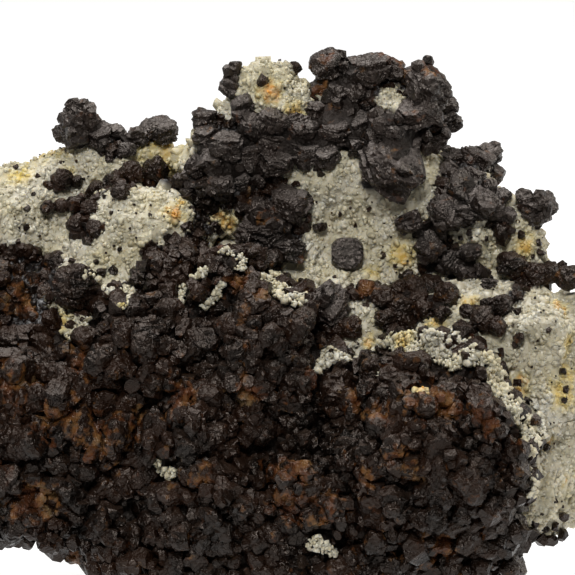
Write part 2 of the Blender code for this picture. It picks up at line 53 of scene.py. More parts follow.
# The view: a square picture of the middle of the specimen, seen from a little above
PICTURE_STEPS = 575
PICTURE_WIDTH = 72 * MM
STEP = PICTURE_WIDTH / PICTURE_STEPS
HALF = PICTURE_STEPS / 2
LAST_STEP = PICTURE_STEPS - 1
VIEW_RISE = math.radians(12)
VIEW_REACH = 400 * MM
VIEW_MIDDLE = np.array((4.081 * MM, -2.732 * MM, 40.0 * MM))
RIGHT = np.array((1.0, 0.0, 0.0))
TOWARDS = np.array((0.0, -math.cos(VIEW_RISE), math.sin(VIEW_RISE)))
UPWARD = np.array((0.0, math.sin(VIEW_RISE), math.cos(VIEW_RISE)))
EYE = VIEW_MIDDLE + TOWARDS * VIEW_REACH
PROBE = Vector((0.137, 0.221, 0.9657))

# Key crystals of each group: across, down and radius in steps of the picture
GROUPS = {
    "bournonite_ridge_left": [
        (79, 131, 19), (100, 137, 15), (64, 133, 11), (118, 134, 9), (136, 138, 12), (163, 131, 16),
        (149, 129, 11), (125, 151, 9),
    ],
    "sphalerite_band_left": [
        (96, 192, 11), (112, 182, 9), (121, 191, 9), (131, 173, 13), (155, 170, 14), (148, 184, 8),
        (168, 185, 9),
    ],
    "sphalerite_patch_ledge": [
        (48, 207, 8), (62, 206, 8), (75, 204, 9), (91, 208, 9), (77, 224, 11), (95, 228, 9),
    ],
    "sphalerite_patch_back_ledge": [(62, 180, 12), (77, 181, 7), (51, 186, 5)],
    "sphalerite_crystal_left": [(76, 285, 23)],
    "bournonite_crown": [
        (205, 119, 13), (206, 137, 14), (230, 88, 12), (236, 68, 8), (243, 106, 13), (226, 148, 17),
        (220, 183, 14), (198, 166, 12), (188, 194, 10), (252, 127, 13), (272, 122, 15), (296, 128, 15),
        (247, 156, 15), (275, 160, 17), (304, 152, 16), (272, 142, 13), (328, 66, 18), (320, 90, 14),
        (341, 93, 17), (361, 94, 12), (352, 68, 13), (372, 70, 19), (393, 68, 12), (412, 77, 13),
        (428, 86, 25), (418, 113, 20), (449, 104, 10), (449, 122, 13), (335, 131, 19), (362, 122, 15),
        (387, 130, 22), (388, 168, 31), (358, 146, 13), (315, 112, 12), (326, 156, 14), (240, 180, 11),
        (258, 178, 10), (408, 142, 14), (437, 138, 12), (212, 160, 12),
    ],
    "bournonite_cluster_centre": [
        (290, 206, 19), (262, 231, 25), (262, 212, 15), (289, 250, 18), (266, 262, 12), (241, 207, 7),
    ],
    "bournonite_crystal_hollow": [(330, 303, 20)],
    "bournonite_cluster_right": [
        (475, 160, 17), (451, 159, 12), (491, 153, 11), (446, 172, 9), (462, 191, 19), (446, 214, 18),
        (481, 205, 17), (500, 196, 11), (507, 215, 9), (427, 248, 16), (408, 222, 13), (436, 232, 12),
        (450, 262, 14), (470, 252, 11), (471, 275, 14), (489, 284, 9), (472, 178, 13), (492, 173, 12),
        (462, 214, 14), (495, 211, 11),
    ],
    "bournonite_knob_right": [(534, 208, 19), (545, 200, 9), (525, 197, 9)],
    "sphalerite_row_right": [
        (511, 264, 14), (530, 275, 15), (546, 273, 13), (568, 277, 13), (590, 282, 14), (518, 283, 9),
    ],
    "sphalerite_cluster_ledge": [
        (366, 288, 11), (383, 298, 13), (399, 307, 13), (398, 290, 11), (413, 288, 13), (431, 286, 13),
        (446, 296, 14), (385, 318, 11), (404, 323, 12), (424, 310, 13), (441, 314, 9), (418, 300, 11),
    ],
    "sphalerite_patch_right_ledge": [
        (482, 319, 14), (501, 306, 12), (497, 327, 10), (468, 311, 8), (488, 306, 9),
    ],
    "sphalerite_patch_back_low": [
        (120, 380, 16), (141, 396, 14), (128, 415, 12), (160, 412, 17), (182, 398, 12), (178, 428, 13),
        (150, 437, 11),
    ],
    "sphalerite_patch_back_high": [
        (404, 250, 17), (425, 268, 14), (398, 280, 12), (420, 234, 11), (442, 254, 10),
    ],
}
ON_THE_BACK = ("sphalerite_patch_back_low", "sphalerite_patch_back_high")

# Where the quartz lies bare, as outlines in steps of the picture
BARE_QUARTZ = [
    [(-90, 130), (57, 118), (58, 140), (75, 147), (96, 152), (106, 168), (116, 169), (133, 155), (146, 142),
     (162, 141), (182, 146), (190, 152), (188, 163), (176, 170), (150, 171), (128, 170), (106, 180),
     (92, 188), (84, 198), (66, 206), (62, 215), (66, 236), (75, 246), (103, 244), (110, 228), (97, 218),
     (98, 206), (115, 194), (150, 190), (165, 188), (180, 199), (188, 211), (184, 222), (174, 234),
     (150, 241), (133, 247), (137, 258), (130, 266), (115, 264), (92, 257), (62, 252), (36, 244),
     (20, 238), (8, 244), (-90, 256)],
    [(64, 265), (78, 262), (96, 266), (101, 281), (88, 276), (74, 277), (65, 274)],
    [(100, 286), (117, 276), (130, 278), (135, 295), (124, 310), (112, 309), (110, 295)],
    [(52, 299), (60, 298), (66, 314), (90, 318), (88, 326), (78, 331), (72, 341), (62, 335), (64, 318)],
    [(177, 305), (180, 284), (186, 284), (185, 295), (181, 307)],
    [(201, 305), (213, 296), (220, 281), (226, 284), (217, 303), (205, 309)],
    [(223, 104), (235, 96), (243, 76), (238, 62), (250, 50), (275, 48), (292, 58), (300, 68), (303, 90),
     (313, 108), (304, 118), (284, 118), (260, 119), (256, 99), (244, 100), (232, 116), (214, 108)],
    [(209, 152), (219, 150), (218, 162), (212, 160)],
    [(212, 212), (220, 214), (228, 210), (237, 217), (235, 229), (226, 228), (214, 220)],
    [(204, 250), (214, 240), (233, 239), (238, 252), (248, 260), (245, 271), (234, 269), (239, 262),
     (226, 252), (210, 252)],
    [(192, 277), (202, 268), (210, 266), (206, 275), (196, 279)],
    [(284, 170), (296, 166), (312, 172), (322, 182), (326, 160), (340, 156), (352, 158), (356, 176),
     (350, 186), (363, 197), (380, 196), (394, 197), (407, 200), (420, 165), (425, 137), (437, 142),
     (432, 170), (428, 217), (416, 221), (407, 205), (396, 215), (397, 228), (410, 240), (416, 262),
     (400, 272), (378, 280), (347, 283), (326, 285), (311, 296), (305, 306), (284, 301), (266, 291),
     (256, 274), (279, 270), (297, 265), (308, 254), (311, 238), (311, 207), (303, 186)],
    [(383, 97), (391, 91), (403, 98), (391, 109), (383, 103)],
    [(421, 140), (433, 137), (435, 150), (428, 166), (429, 190), (425, 213), (414, 212), (405, 204),
     (396, 206), (396, 197), (411, 190), (413, 178), (419, 164)],
    [(454, 236), (463, 227), (475, 221), (487, 227), (495, 236), (492, 247), (500, 270), (509, 281),
     (500, 290), (497, 300), (480, 296), (475, 278), (484, 262), (482, 246), (466, 244), (457, 244)],
    [(500, 168), (508, 184), (520, 196), (524, 214), (530, 228), (540, 233), (548, 240), (560, 262),
     (550, 271), (530, 264), (514, 257), (502, 256), (505, 245), (511, 234), (510, 210), (502, 190),
     (492, 180)],
    [(402, 286), (414, 275), (424, 284), (440, 277), (441, 289), (425, 292), (415, 301), (402, 296)],
    [(352, 307), (366, 309), (381, 321), (375, 327), (360, 329)],
    [(308, 379), (319, 361), (322, 350), (334, 344), (352, 340), (375, 337), (395, 331), (410, 333),
     (424, 326), (430, 314), (441, 302), (463, 298), (463, 278), (475, 278), (478, 294), (497, 299),
     (480, 303), (466, 316), (457, 322), (457, 334), (463, 342), (480, 333), (497, 334), (514, 318),
     (526, 305), (534, 294), (558, 290), (610, 296), (640, 400), (640, 520), (570, 542), (545, 527),
     (528, 523), (519, 504), (533, 488), (528, 470), (530, 452), (522, 434), (514, 418), (500, 400),
     (493, 393), (485, 379), (489, 363), (462, 368), (450, 370), (430, 357), (412, 352), (398, 361),
     (388, 346), (375, 351), (352, 361), (330, 364), (318, 372)],
    [(374, 380), (379, 369), (384, 382), (379, 386)],
    [(414, 389), (424, 387), (432, 393), (416, 395)],
    [(152, 463), (158, 458), (164, 467), (171, 465), (177, 474), (170, 482), (163, 477), (157, 471)],
    [(305, 541), (317, 535), (327, 543), (338, 550), (336, 560), (324, 553), (312, 550)],
]

# Stains on the quartz: across, down, radius and how orange rather than yellow it is
STAINS = [
    (270, 92, 15, 1.0), (295, 112, 14, 0.4), (175, 213, 13, 1.0), (182, 200, 8, 0.5), (217, 214, 9, 0.8),
    (228, 224, 12, 0.6), (216, 241, 9, 0.9), (60, 322, 12, 0.4), (120, 302, 10, 0.2), (68, 300, 8, 0.8),
    (123, 313, 6, 1.0), (150, 310, 6, 1.0), (402, 255, 15, 0.3), (406, 262, 8, 0.7), (290, 288, 14, 0.2),
    (330, 285, 12, 0.2), (372, 277, 12, 0.2), (525, 246, 13, 0.4), (434, 318, 13, 0.5), (470, 302, 12, 0.4),
    (368, 343, 10, 0.5), (405, 340, 12, 0.4), (517, 388, 13, 0.7), (522, 380, 8, 0.9), (380, 380, 8, 0.9),
    (423, 390, 11, 0.9), (549, 292, 14, 0.9), (560, 306, 12, 0.7), (562, 395, 18, 0.2), (550, 442, 7, 1.0),
    (566, 474, 8, 0.9), (545, 447, 6, 1.2), (563, 480, 6, 1.2), (568, 372, 12, 0.2), (505, 262, 9, 0.4),
    (70, 175, 12, 0.1), (160, 150, 14, 0.1), (20, 175, 16, 0.05), (565, 345, 14, 0.2), (350, 240, 8, 0.2),
]

# Dark grains lying singly on the quartz: across, down and radius
SPECKS = [
    (16, 168, 3), (38, 177, 3.5), (48, 164, 3), (46, 185, 4.5), (62, 166, 4.5), (34, 195, 3), (26, 227, 4),
    (18, 242, 3.5), (255, 49, 5), (260, 68, 4.5), (262, 83, 7), (293, 70, 6.5), (269, 78, 3), (279, 61, 2),
    (383, 256, 4), (317, 228, 7), (520, 235, 4.5), (27, 209, 4), (46, 210, 6), (112, 213, 2.5),
    (134, 205, 2), (150, 216, 2.5), (92, 240, 3), (120, 249, 2.5), (301, 283, 3.5), (262, 296, 4.5),
    (334, 279, 3), (369, 209, 3), (351, 207, 2.5), (339, 214, 3), (356, 226, 2.5), (377, 231, 3),
    (385, 224, 2.5), (400, 243, 2.5), (396, 266, 3), (366, 262, 2.5), (311, 200, 3), (299, 184, 2.5),
    (421, 193, 3), (426, 178, 2), (521, 207, 3.5), (517, 222, 3), (541, 252, 5), (538, 243, 4),
    (533, 256, 3), (446, 312, 5), (521, 336, 7), (514, 344, 4), (531, 424, 6.5), (527, 401, 4.5),
    (519, 383, 5), (504, 386, 3.5), (544, 447, 5), (562, 372, 4), (565, 390, 4), (563, 400, 4),
    (562, 515, 6), (555, 500, 3), (540, 512, 4), (527, 528, 9), (538, 534, 8), (549, 534, 8), (560, 531, 7),
    (570, 527, 7), (544, 527, 5), (555, 525, 5), (533, 522, 5), (256, 54, 5), (548, 330, 4),
    (500, 352, 5), (480, 350, 5), (465, 356, 5),
    (448, 345, 4), (420, 345, 4), (402, 352, 5), (347, 354, 7), (340, 365, 5), (330, 352, 4), (355, 345, 4),
    (71, 328, 6), (114, 284, 4), (84, 322, 4), (486, 238, 3), (470, 232, 3.5), (461, 238, 3), (507, 228, 4),
]

# Rusty places of the dark crust: across, down and radius
RUSTY = [
    (420, 390, 24), (440, 402, 22), (380, 415, 22), (455, 412, 18), (400, 455, 16), (412, 470, 14),
    (365, 478, 16), (300, 470, 26), (290, 500, 26), (275, 470, 16), (60, 420, 30), (100, 440, 26),
    (30, 500, 30), (75, 560, 18), (180, 400, 26), (250, 390, 22), (200, 475, 18), (330, 505, 22),
    (350, 400, 18), (310, 380, 16), (130, 425, 24), (440, 545, 22), (400, 545, 18), (480, 420, 20),
    (550, 303, 12), (454, 105, 12), (187, 133, 9), (508, 187, 12), (395, 57, 20), (325, 55, 16),
    (430, 66, 16), (268, 215, 13), (366, 288, 14), (300, 262, 10), (318, 88, 12), (235, 285, 16),
    (262, 300, 14), (20, 300, 26), (15, 380, 26), (90, 360, 22), (449, 122, 10), (312, 70, 12),
]


# Places in the picture and on the solids

def picture_ray(across, down):
    """Direction from the eye through a place of the picture."""
    aim = VIEW_MIDDLE + RIGHT * (across - HALF) * STEP + UPWARD * (HALF - down) * STEP
    ray = aim - EYE
    return ray / np.linalg.norm(ray)


def picture_places(points):
    """Where points are seen in the picture, as across and down."""
    offset = points - EYE
    depth = -(offset @ TOWARDS)
    across = HALF + (offset @ RIGHT) / depth * VIEW_REACH / STEP
    down = HALF - (offset @ UPWARD) / depth * VIEW_REACH / STEP
    return np.stack((across, down), 1)


def inside_outline(places, outline):
    """Which places lie inside a closed outline."""
    within = np.zeros(len(places), bool)
    x, y = places[:, 0], places[:, 1]
    for (x1, y1), (x2, y2) in zip(outline, outline[1:] + outline[:1]):
        crosses = (y1 > y) != (y2 > y)
        within ^= crosses & (x < (x2 - x1) * (y - y1) / (y2 - y1 + 1e-9) + x1)
    return within


def on_bare_quartz(places):
    """Which places of the picture show bare quartz."""
    bare = np.zeros(len(places), bool)
    for outline in BARE_QUARTZ:
        bare |= inside_outline(places, outline)
    return bare


def clear_of_white(places, reach):
    """Which places keep at least a reach away from bare quartz, all round."""
    clear = ~on_bare_quartz(places)
    for angle in np.arange(8) * math.tau / 8:
        clear &= ~on_bare_quartz(places + np.array((math.cos(angle), math.sin(angle))) * reach)
    return clear


class Solids:
    """Some of the frame's nodes as one search tree that also tells which node was met."""

    def __init__(self, names):
        points, faces, self.owners = [], [], []
        for name in names:
            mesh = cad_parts[name].data
            start = len(points)
            points += [vert.co.copy() for vert in mesh.vertices]
            for face in mesh.polygons:
                faces.append([start + index for index in face.vertices])
                self.owners.append(name)
        self.tree = BVHTree.FromPolygons(points, faces)

    def seen(self, across, down):
        """What a line of sight meets first: point, outward direction and node, or nothing."""
        point, facing, index, _ = self.tree.ray_cast(Vector(EYE), Vector(picture_ray(across, down)))
        if point is None:
            return None
        return np.array(point), np.array(facing), self.owners[index]

    def within(self, point):
        """Whether a point lies inside, by the faces crossed on the way out."""
        crossed = 0
        start = Vector(point)
        while crossed < 40:
            hit = self.tree.ray_cast(start, PROBE)[0]
            if hit is None:
                break
            crossed += 1
            start = hit + PROBE * 1e-6
        return crossed % 2 == 1

    def visible(self, point, slack=0.6 * MM):
        """Whether the eye sees a point of the surface."""
        aim = Vector(point) - Vector(EYE)
        hit = self.tree.ray_cast(Vector(EYE), aim.normalized())[0]
        return hit is not None and (hit - Vector(EYE)).length > aim.length - slack


whole = Solids(sorted(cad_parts))
rock = Solids(["quartz_matrix"])
crust = Solids(["sphalerite_crust_front"])


def seat(across, down, radius):
    """Centre of a crystal of a group, standing proud of the rock at its place in the picture."""
    for lower in range(0, 120, 2):
        found = rock.seen(across, down + lower)
        if found is not None:
            near = (found[0] - VIEW_MIDDLE) @ TOWARDS
            aim = RIGHT * (across - HALF) * STEP + UPWARD * (HALF - down) * STEP
            return VIEW_MIDDLE + aim * (1 - near / VIEW_REACH) + TOWARDS * (near + radius * 0.5)
    raise ValueError("no rock below this place")


def seat_behind(across, down, radius):
    """Centre of a crystal on the broken back, at its place on the same sheet seen from behind."""
    eye = VIEW_MIDDLE - TOWARDS * VIEW_REACH
    aim = VIEW_MIDDLE + RIGHT * (across - HALF) * STEP + UPWARD * (HALF - down) * STEP
    hit = rock.tree.ray_cast(Vector(eye), Vector(aim - eye).normalized())[0]
    near = (np.array(hit) - VIEW_MIDDLE) @ TOWARDS
    offset = (aim - VIEW_MIDDLE) * (1 - near / VIEW_REACH)
    return VIEW_MIDDLE + offset + TOWARDS * (near - radius * 0.5)


def surface_samples(name, count, rng):
    """Random points over a node's surface with the outward directions there."""
    return mesh_samples(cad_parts[name].data, count, rng)


def mesh_samples(mesh, count, rng):
    """Random points over a mesh with the outward directions there."""
    mesh.calc_loop_triangles()
    corners = np.array([vert.co for vert in mesh.vertices])
    triangles = np.array([triangle.vertices for triangle in mesh.loop_triangles])
    a, b, c = (corners[triangles[:, corner]] for corner in range(3))
    cross = np.cross(b - a, c - a)
    area = np.linalg.norm(cross, axis=1)
    chosen = rng.choice(len(triangles), count, p=area / area.sum())
    u, v = rng.random((2, count, 1))
    flip = (u + v) > 1
    u, v = np.where(flip, 1 - u, u), np.where(flip, 1 - v, v)
    points = a[chosen] + (b - a)[chosen] * u + (c - a)[chosen] * v
    return points, (cross / area[:, None])[chosen]


def spread_out(points, spacing):
    """Indices of points kept so that no two are closer than the spacing."""
    kept, cells = [], {}
    for index, point in enumerate(points):
        cell = tuple(np.floor(point / spacing).astype(int))
        around = itertools.product(*((value - 1, value, value + 1) for value in cell))
        near = (other for place in around for other in cells.get(place, ()))
        if all(np.abs(points[other] - point).max() > spacing * 0.58
               or np.linalg.norm(points[other] - point) > spacing for other in near):
            kept.append(index)
            cells.setdefault(cell, []).append(index)
    return np.array(kept, int)


# Crystal shapes

def unit(vectors):
    """Vectors scaled to length one."""
    return vectors / np.linalg.norm(vectors, axis=-1, keepdims=True)


CUBE = np.array([(1, 0, 0), (-1, 0, 0), (0, 1, 0), (0, -1, 0), (0, 0, 1), (0, 0, -1)], float)
CORNERS = unit(np.array(list(itertools.product((-1, 1), repeat=3)), float))
RHOMBS = unit(np.array([
    place for place in itertools.product((-1, 0, 1), repeat=3) if sum(abs(value) for value in place) == 2
], float))


def sphalerite_faces(rng):
    """Directions and depths of the faces of one sphalerite crystal."""
    depths = [rng.uniform(0.86, 1.06, 6)]
    odd = CORNERS.prod(1) > 0
    depths.append(np.where(odd, rng.uniform(0.74, 0.9, 8), rng.uniform(0.92, 1.08, 8)))
    depths.append(rng.uniform(0.84, 1.04, 12))
    faces = np.concatenate((CUBE, CORNERS, RHOMBS))
    return unit(faces + rng.normal(0, 0.07, faces.shape)), np.concatenate(depths)


def bournonite_faces(rng):
    """Directions and depths of the faces of one short, thick bournonite crystal."""
    sides = rng.integers(5, 8)
    angles = math.tau * (np.arange(sides) + rng.uniform(-0.25, 0.25, sides)) / sides + rng.uniform(0, 1)
    rim = np.stack((np.cos(angles), np.sin(angles), rng.normal(0, 0.08, sides)), 1)
    bevels, depths = [], []
    for end in (-1, 1):
        for angle in angles[rng.random(sides) < 0.5] + math.pi / sides:
            rise = rng.uniform(0.5, 1.2)
            bevels.append((math.cos(angle), math.sin(angle), end * rise))
            depths.append(rng.uniform(0.86, 1.05))
    ends = CUBE[4:] + rng.normal(0, 0.1, (2, 3))
    faces = unit(np.concatenate((ends, rim, np.array(bevels).reshape(-1, 3))))
    return faces, np.concatenate((rng.uniform(0.58, 0.8, 2), rng.uniform(0.74, 1.0, sides), depths))


def quartz_faces(rng):
    """Directions and depths of the faces of one sugar-like quartz grain."""
    faces = np.concatenate((CUBE, CORNERS[rng.permutation(8)[:2]]))
    return unit(faces + rng.normal(0, 0.3, faces.shape)), rng.uniform(0.55, 0.9, len(faces))


def grain_faces(rng):
    """Directions and depths of the faces of one small dark crystal."""
    faces = np.concatenate((CUBE, CORNERS[rng.permutation(8)[:5]]))
    return unit(faces + rng.normal(0, 0.14, faces.shape)), rng.uniform(0.66, 0.95, len(faces))


def cut_solid(faces, depths):
    """Corners and triangles of the solid that the faces cut out."""
    triples = np.array(list(itertools.combinations(range(len(faces)), 3)))
    sets = faces[triples]
    good = np.abs(np.linalg.det(sets)) > 0.02
    corners = np.linalg.solve(sets[good], depths[triples][good][..., None])[..., 0]
    corners = corners[(corners @ faces.T <= depths + 1e-6).all(1)]
    corners = np.unique(np.round(corners, 4), axis=0)
    triangles = []
    for face, depth in zip(faces, depths):
        ring = np.flatnonzero(np.abs(corners @ face - depth) < 5e-4)
        if len(ring) < 3:
            continue
        spread = corners[ring] - corners[ring].mean(0)
        side = unit(np.cross(face, (0.31, 0.72, 0.62)))
        order = np.argsort(np.arctan2(spread @ np.cross(face, side), spread @ side))
        ring = ring[order]
        triangles += [(ring[0], ring[k], ring[k + 1]) for k in range(1, len(ring) - 1)]
    return corners, np.array(triangles)


def shape_set(faces_of, count, rng):
    """Several ready shapes of one mineral, with far corners drawn in."""
    shapes = []
    for _ in range(count):
        corners, triangles = cut_solid(*faces_of(rng))
        far = np.linalg.norm(corners, axis=1, keepdims=True)
        shapes.append((corners * np.minimum(1, 1.1 / far), triangles))
    return shapes


def globe(level):
    """Directions and triangles of an even globe."""
    bm = bmesh.new()
    bmesh.ops.create_icosphere(bm, subdivisions=level, radius=1)
    directions = np.array([vert.co for vert in bm.verts])
    triangles = np.array([[vert.index for vert in face.verts] for face in bm.faces])
    bm.free()
    return directions, triangles


GLOBES = {level: globe(level) for level in (2, 3, 4, 5)}


def stepped_crystal(level, faces_of, plates, rng, rough=1.0):
    """Points of one crystal with growth steps on its faces and a stack of plates along its sides.

    Also gives how close each point is to an edge between faces.
    """
    directions, triangles = GLOBES[level]
    shaken = unit(directions + rng.normal(0, 0.28 / 2 ** level, directions.shape))
    faces, depths = faces_of(rng)
    facing = shaken @ faces.T
    clear = np.maximum(facing, 0.15)
    height = shaken[:, 2] * np.where(facing > 0.15, depths / clear, 9.0).min(1)
    waves = np.sin(shaken @ rng.normal(0, 3.0, (3, len(faces))) + rng.uniform(0, 6, len(faces)))
    ripples = np.sin(shaken @ rng.normal(0, 9.0, (3, len(faces))) + rng.uniform(0, 6, len(faces)))
    steps = np.floor((waves + 0.6 * ripples + 1.6) * 1.6)
    warp = 0.05 * np.sin(shaken[:, 0] * 4 + rng.uniform(0, 6))
    warp = warp + 0.04 * np.sin(shaken[:, 1] * 7 + rng.uniform(0, 6))
    plate = np.clip(np.floor((height + warp) * plates + 30), 0, 59).astype(int)
    shelf = 0.55 * rng.uniform(-1, 1, (60, 1)) + 0.6 * rng.uniform(-1, 1, (60, len(faces)))
    sides = 1 - np.abs(faces[:, 2])
    deep = depths * (1 - 0.034 * rough * steps) + 0.15 * rough * shelf[plate] * sides
    reach = np.where(facing > 0.15, deep / clear, 9.0)
    order = np.partition(reach, 1, axis=1)
    reach, gap = order[:, 0], order[:, 1] - order[:, 0]
    crinkle = 0.009 * rough * np.sin(shaken @ rng.normal(0, 16, (3, 3)) + rng.uniform(0, 6, 3)).sum(1)
    pits = rng.normal(0, 0.007 * rough, len(reach))
    points = shaken * (np.clip(reach, 0.35, 1.14) + crinkle + pits)[:, None]
    return points, triangles, np.exp(-gap / 0.05)


def rough_set(level, faces_of, count, rng):
    """Several stepped crystals ready for use, as corners and triangles."""
    return [stepped_crystal(level, faces_of, rng.uniform(2.5, 5), rng)[:2] for _ in range(count)]


def turns(count, rng):
    """Random rotations as matrices."""
    w, x, y, z = unit(rng.normal(0, 1, (count, 4))).T
    return np.stack((
        1 - 2 * (y * y + z * z), 2 * (x * y - z * w), 2 * (x * z + y * w),
        2 * (x * y + z * w), 1 - 2 * (x * x + z * z), 2 * (y * z - x * w),
        2 * (x * z - y * w), 2 * (y * z + x * w), 1 - 2 * (x * x + y * y),
    ), 1).reshape(-1, 3, 3)


def leaning(axes, rng):
    """Rotations that lay each shape's own upright along the given axes, turned at random about them."""
    axes = unit(axes)
    start = unit(np.cross(axes, rng.normal(0, 1, axes.shape)))
    other = np.cross(axes, start)
    return np.stack((start, other, axes), 2)


def store(mesh, name, values):
    """Keep one value for each point of a mesh, for its material."""
    layer = mesh.attributes.new(name, 'FLOAT', 'POINT')
    layer.data.foreach_set("value", values.astype(np.float32))


class Pile:
    """Triangles gathered for one piece, with values for its material."""

    def __init__(self):
        self.points, self.triangles, self.values, self.count = [], [], {}, 0

    def add(self, points, triangles, **values):
        """Add one batch; a value is one number or one for each point."""
        self.triangles.append(triangles + self.count)
        self.points.append(points)
        self.count += len(points)
        for name in ("tint", "edge"):
            value = values.get(name, 0.0)
            self.values.setdefault(name, []).append(np.broadcast_to(value, len(points)))

    def scatter(self, shapes, centres, sizes, rotations, rng, stretch=0.18):
        """Add one of the ready shapes at each centre."""
        kinds = rng.integers(len(shapes), size=len(centres))
        scales = sizes[:, None] * rng.uniform(1 - stretch, 1 + stretch, (len(centres), 3))
        tints = rng.random(len(centres))
        for kind, (corners, triangles) in enumerate(shapes):
            chosen = np.flatnonzero(kinds == kind)
            if len(chosen) == 0:
                continue
            placed = np.einsum("nij,nvj->nvi", rotations[chosen], corners * scales[chosen, None, :])
            placed += centres[chosen, None, :]
            shifts = np.arange(len(chosen))[:, None, None] * len(corners)
            self.add(
                placed.reshape(-1, 3), (triangles + shifts).reshape(-1, 3),
                tint=np.repeat(tints[chosen], len(corners)),
            )

    def add_key(self, level, faces_of, centre, radius, rotation, plates, rng, rough=1.0):
        """Add one stepped crystal."""
        points, triangles, edge = stepped_crystal(level, faces_of, plates, rng, rough)
        scale = radius * rng.uniform((1.0, 0.9, 0.85), (1.12, 1.05, 1.05))
        self.add((points * scale) @ rotation.T + centre, triangles, tint=rng.random(), edge=edge)

    def build(self, name, finish, mineral, replaced=(), soft=False):
        """Make the piece and hang it on the specimen, with smooth faces if it is soft."""
        points = np.concatenate(self.points)
        points[:, 2] = np.maximum(points[:, 2], 0.0)
        triangles = np.concatenate(self.triangles)
        mesh = bpy.data.meshes.new(name)
        mesh.vertices.add(len(points))
        mesh.vertices.foreach_set("co", points.ravel())
        mesh.loops.add(triangles.size)
        mesh.loops.foreach_set("vertex_index", triangles.ravel())
        mesh.polygons.add(len(triangles))
        mesh.polygons.foreach_set("loop_start", np.arange(0, triangles.size, 3))
        mesh.update(calc_edges=True)
        mesh.validate()
        if soft:
            mesh.shade_smooth()
        else:
            mesh.shade_flat()
        for value, parts in self.values.items():
            store(mesh, value, np.concatenate(parts))
        piece = bpy.data.objects.new(name, mesh)
        bpy.context.collection.objects.link(piece)
        hang(piece, finish, replaced)


# Stains and rust, as values at each point

def marks(spots):
    """Marks as points on the specimen with radii in metres and strengths."""
    found = []
    for across, down, radius, *strength in spots:
        met = whole.seen(min(across, LAST_STEP), down)
        if met is not None:
            found.append((met[0], radius * STEP, strength[0] if strength else 1.0))
    return found


BACK_STAINS = 14


def back_stains():
    """Stains at random on the broken back, which the picture does not show."""
    rng = np.random.default_rng(3)
    points, normals = surface_samples("quartz_matrix", 200, rng)
    points = points[normals[:, 1] > 0.2][:BACK_STAINS]
    return [(point, 2.0 * 3.2 ** rng.random() * MM, rng.uniform(0.0, 0.7)) for point in points]


STAIN_MARKS = marks(STAINS) + back_stains()
RUST_MARKS = marks(RUSTY)


def nearness(points, spots, rough):
    """How strongly the marks cover each point, and the last value of the mark that covers it most."""
    cover = np.zeros(len(points))
    blend = np.zeros(len(points))
    for centre, radius, strength in spots:
        offset = points - centre
        far = np.linalg.norm(offset, axis=1) / radius + rough
        share = np.clip(1.15 - far, 0, 1) ** 0.8
        blend = np.where(share > cover, strength, blend)
        cover = np.maximum(cover, share)
    return cover, blend


def cloud(points, size, seed):
    """Smooth noise at each point, about minus one to one."""
    shift = Vector((seed * 3.7, seed * 1.9, seed * 5.3))
    return np.array([noise.noise(Vector(point) / size + shift) for point in points])


def set_places(piece):
    """Tell a piece's material where stains and rust lie, and where dark crystals hide quartz."""
    mesh = piece.data
    points = np.zeros(len(mesh.vertices) * 3)
    mesh.vertices.foreach_get("co", points)
    points = points.reshape(-1, 3)
    rough = 0.35 * np.sin(points @ np.array((2900.0, 1700.0, 2300.0))) * np.sin(
        points @ np.array((-1900.0, 2600.0, 3100.0)))
    spots = STAIN_MARKS if piece.name.startswith("quartz") else RUST_MARKS
    cover, blend = nearness(points, spots, rough)
    dark = np.zeros(len(points))
    if piece.name.startswith("quartz_rock") or piece.name.startswith("quartz_grains"):
        places = picture_places(points)
        within = (places[:, 0] > -5) & (places[:, 0] < 580) & (places[:, 1] < 580)
        for index in np.flatnonzero(within & clear_of_white(places, 7)):
            dark[index] = rock.visible(points[index], 1.0 * MM)
    for name, values in (("cover", cover), ("orange", blend), ("dark", dark)):
        store(mesh, name, values)


def hang(piece, finish, replaced):
    """Give a piece its stains and finish, hang it on the body, and hide the nodes that it replaces."""
    set_places(piece)
    piece.data.materials.append(finish)
    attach(piece, "root")
    if replaced:
        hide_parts(*replaced)


# Materials

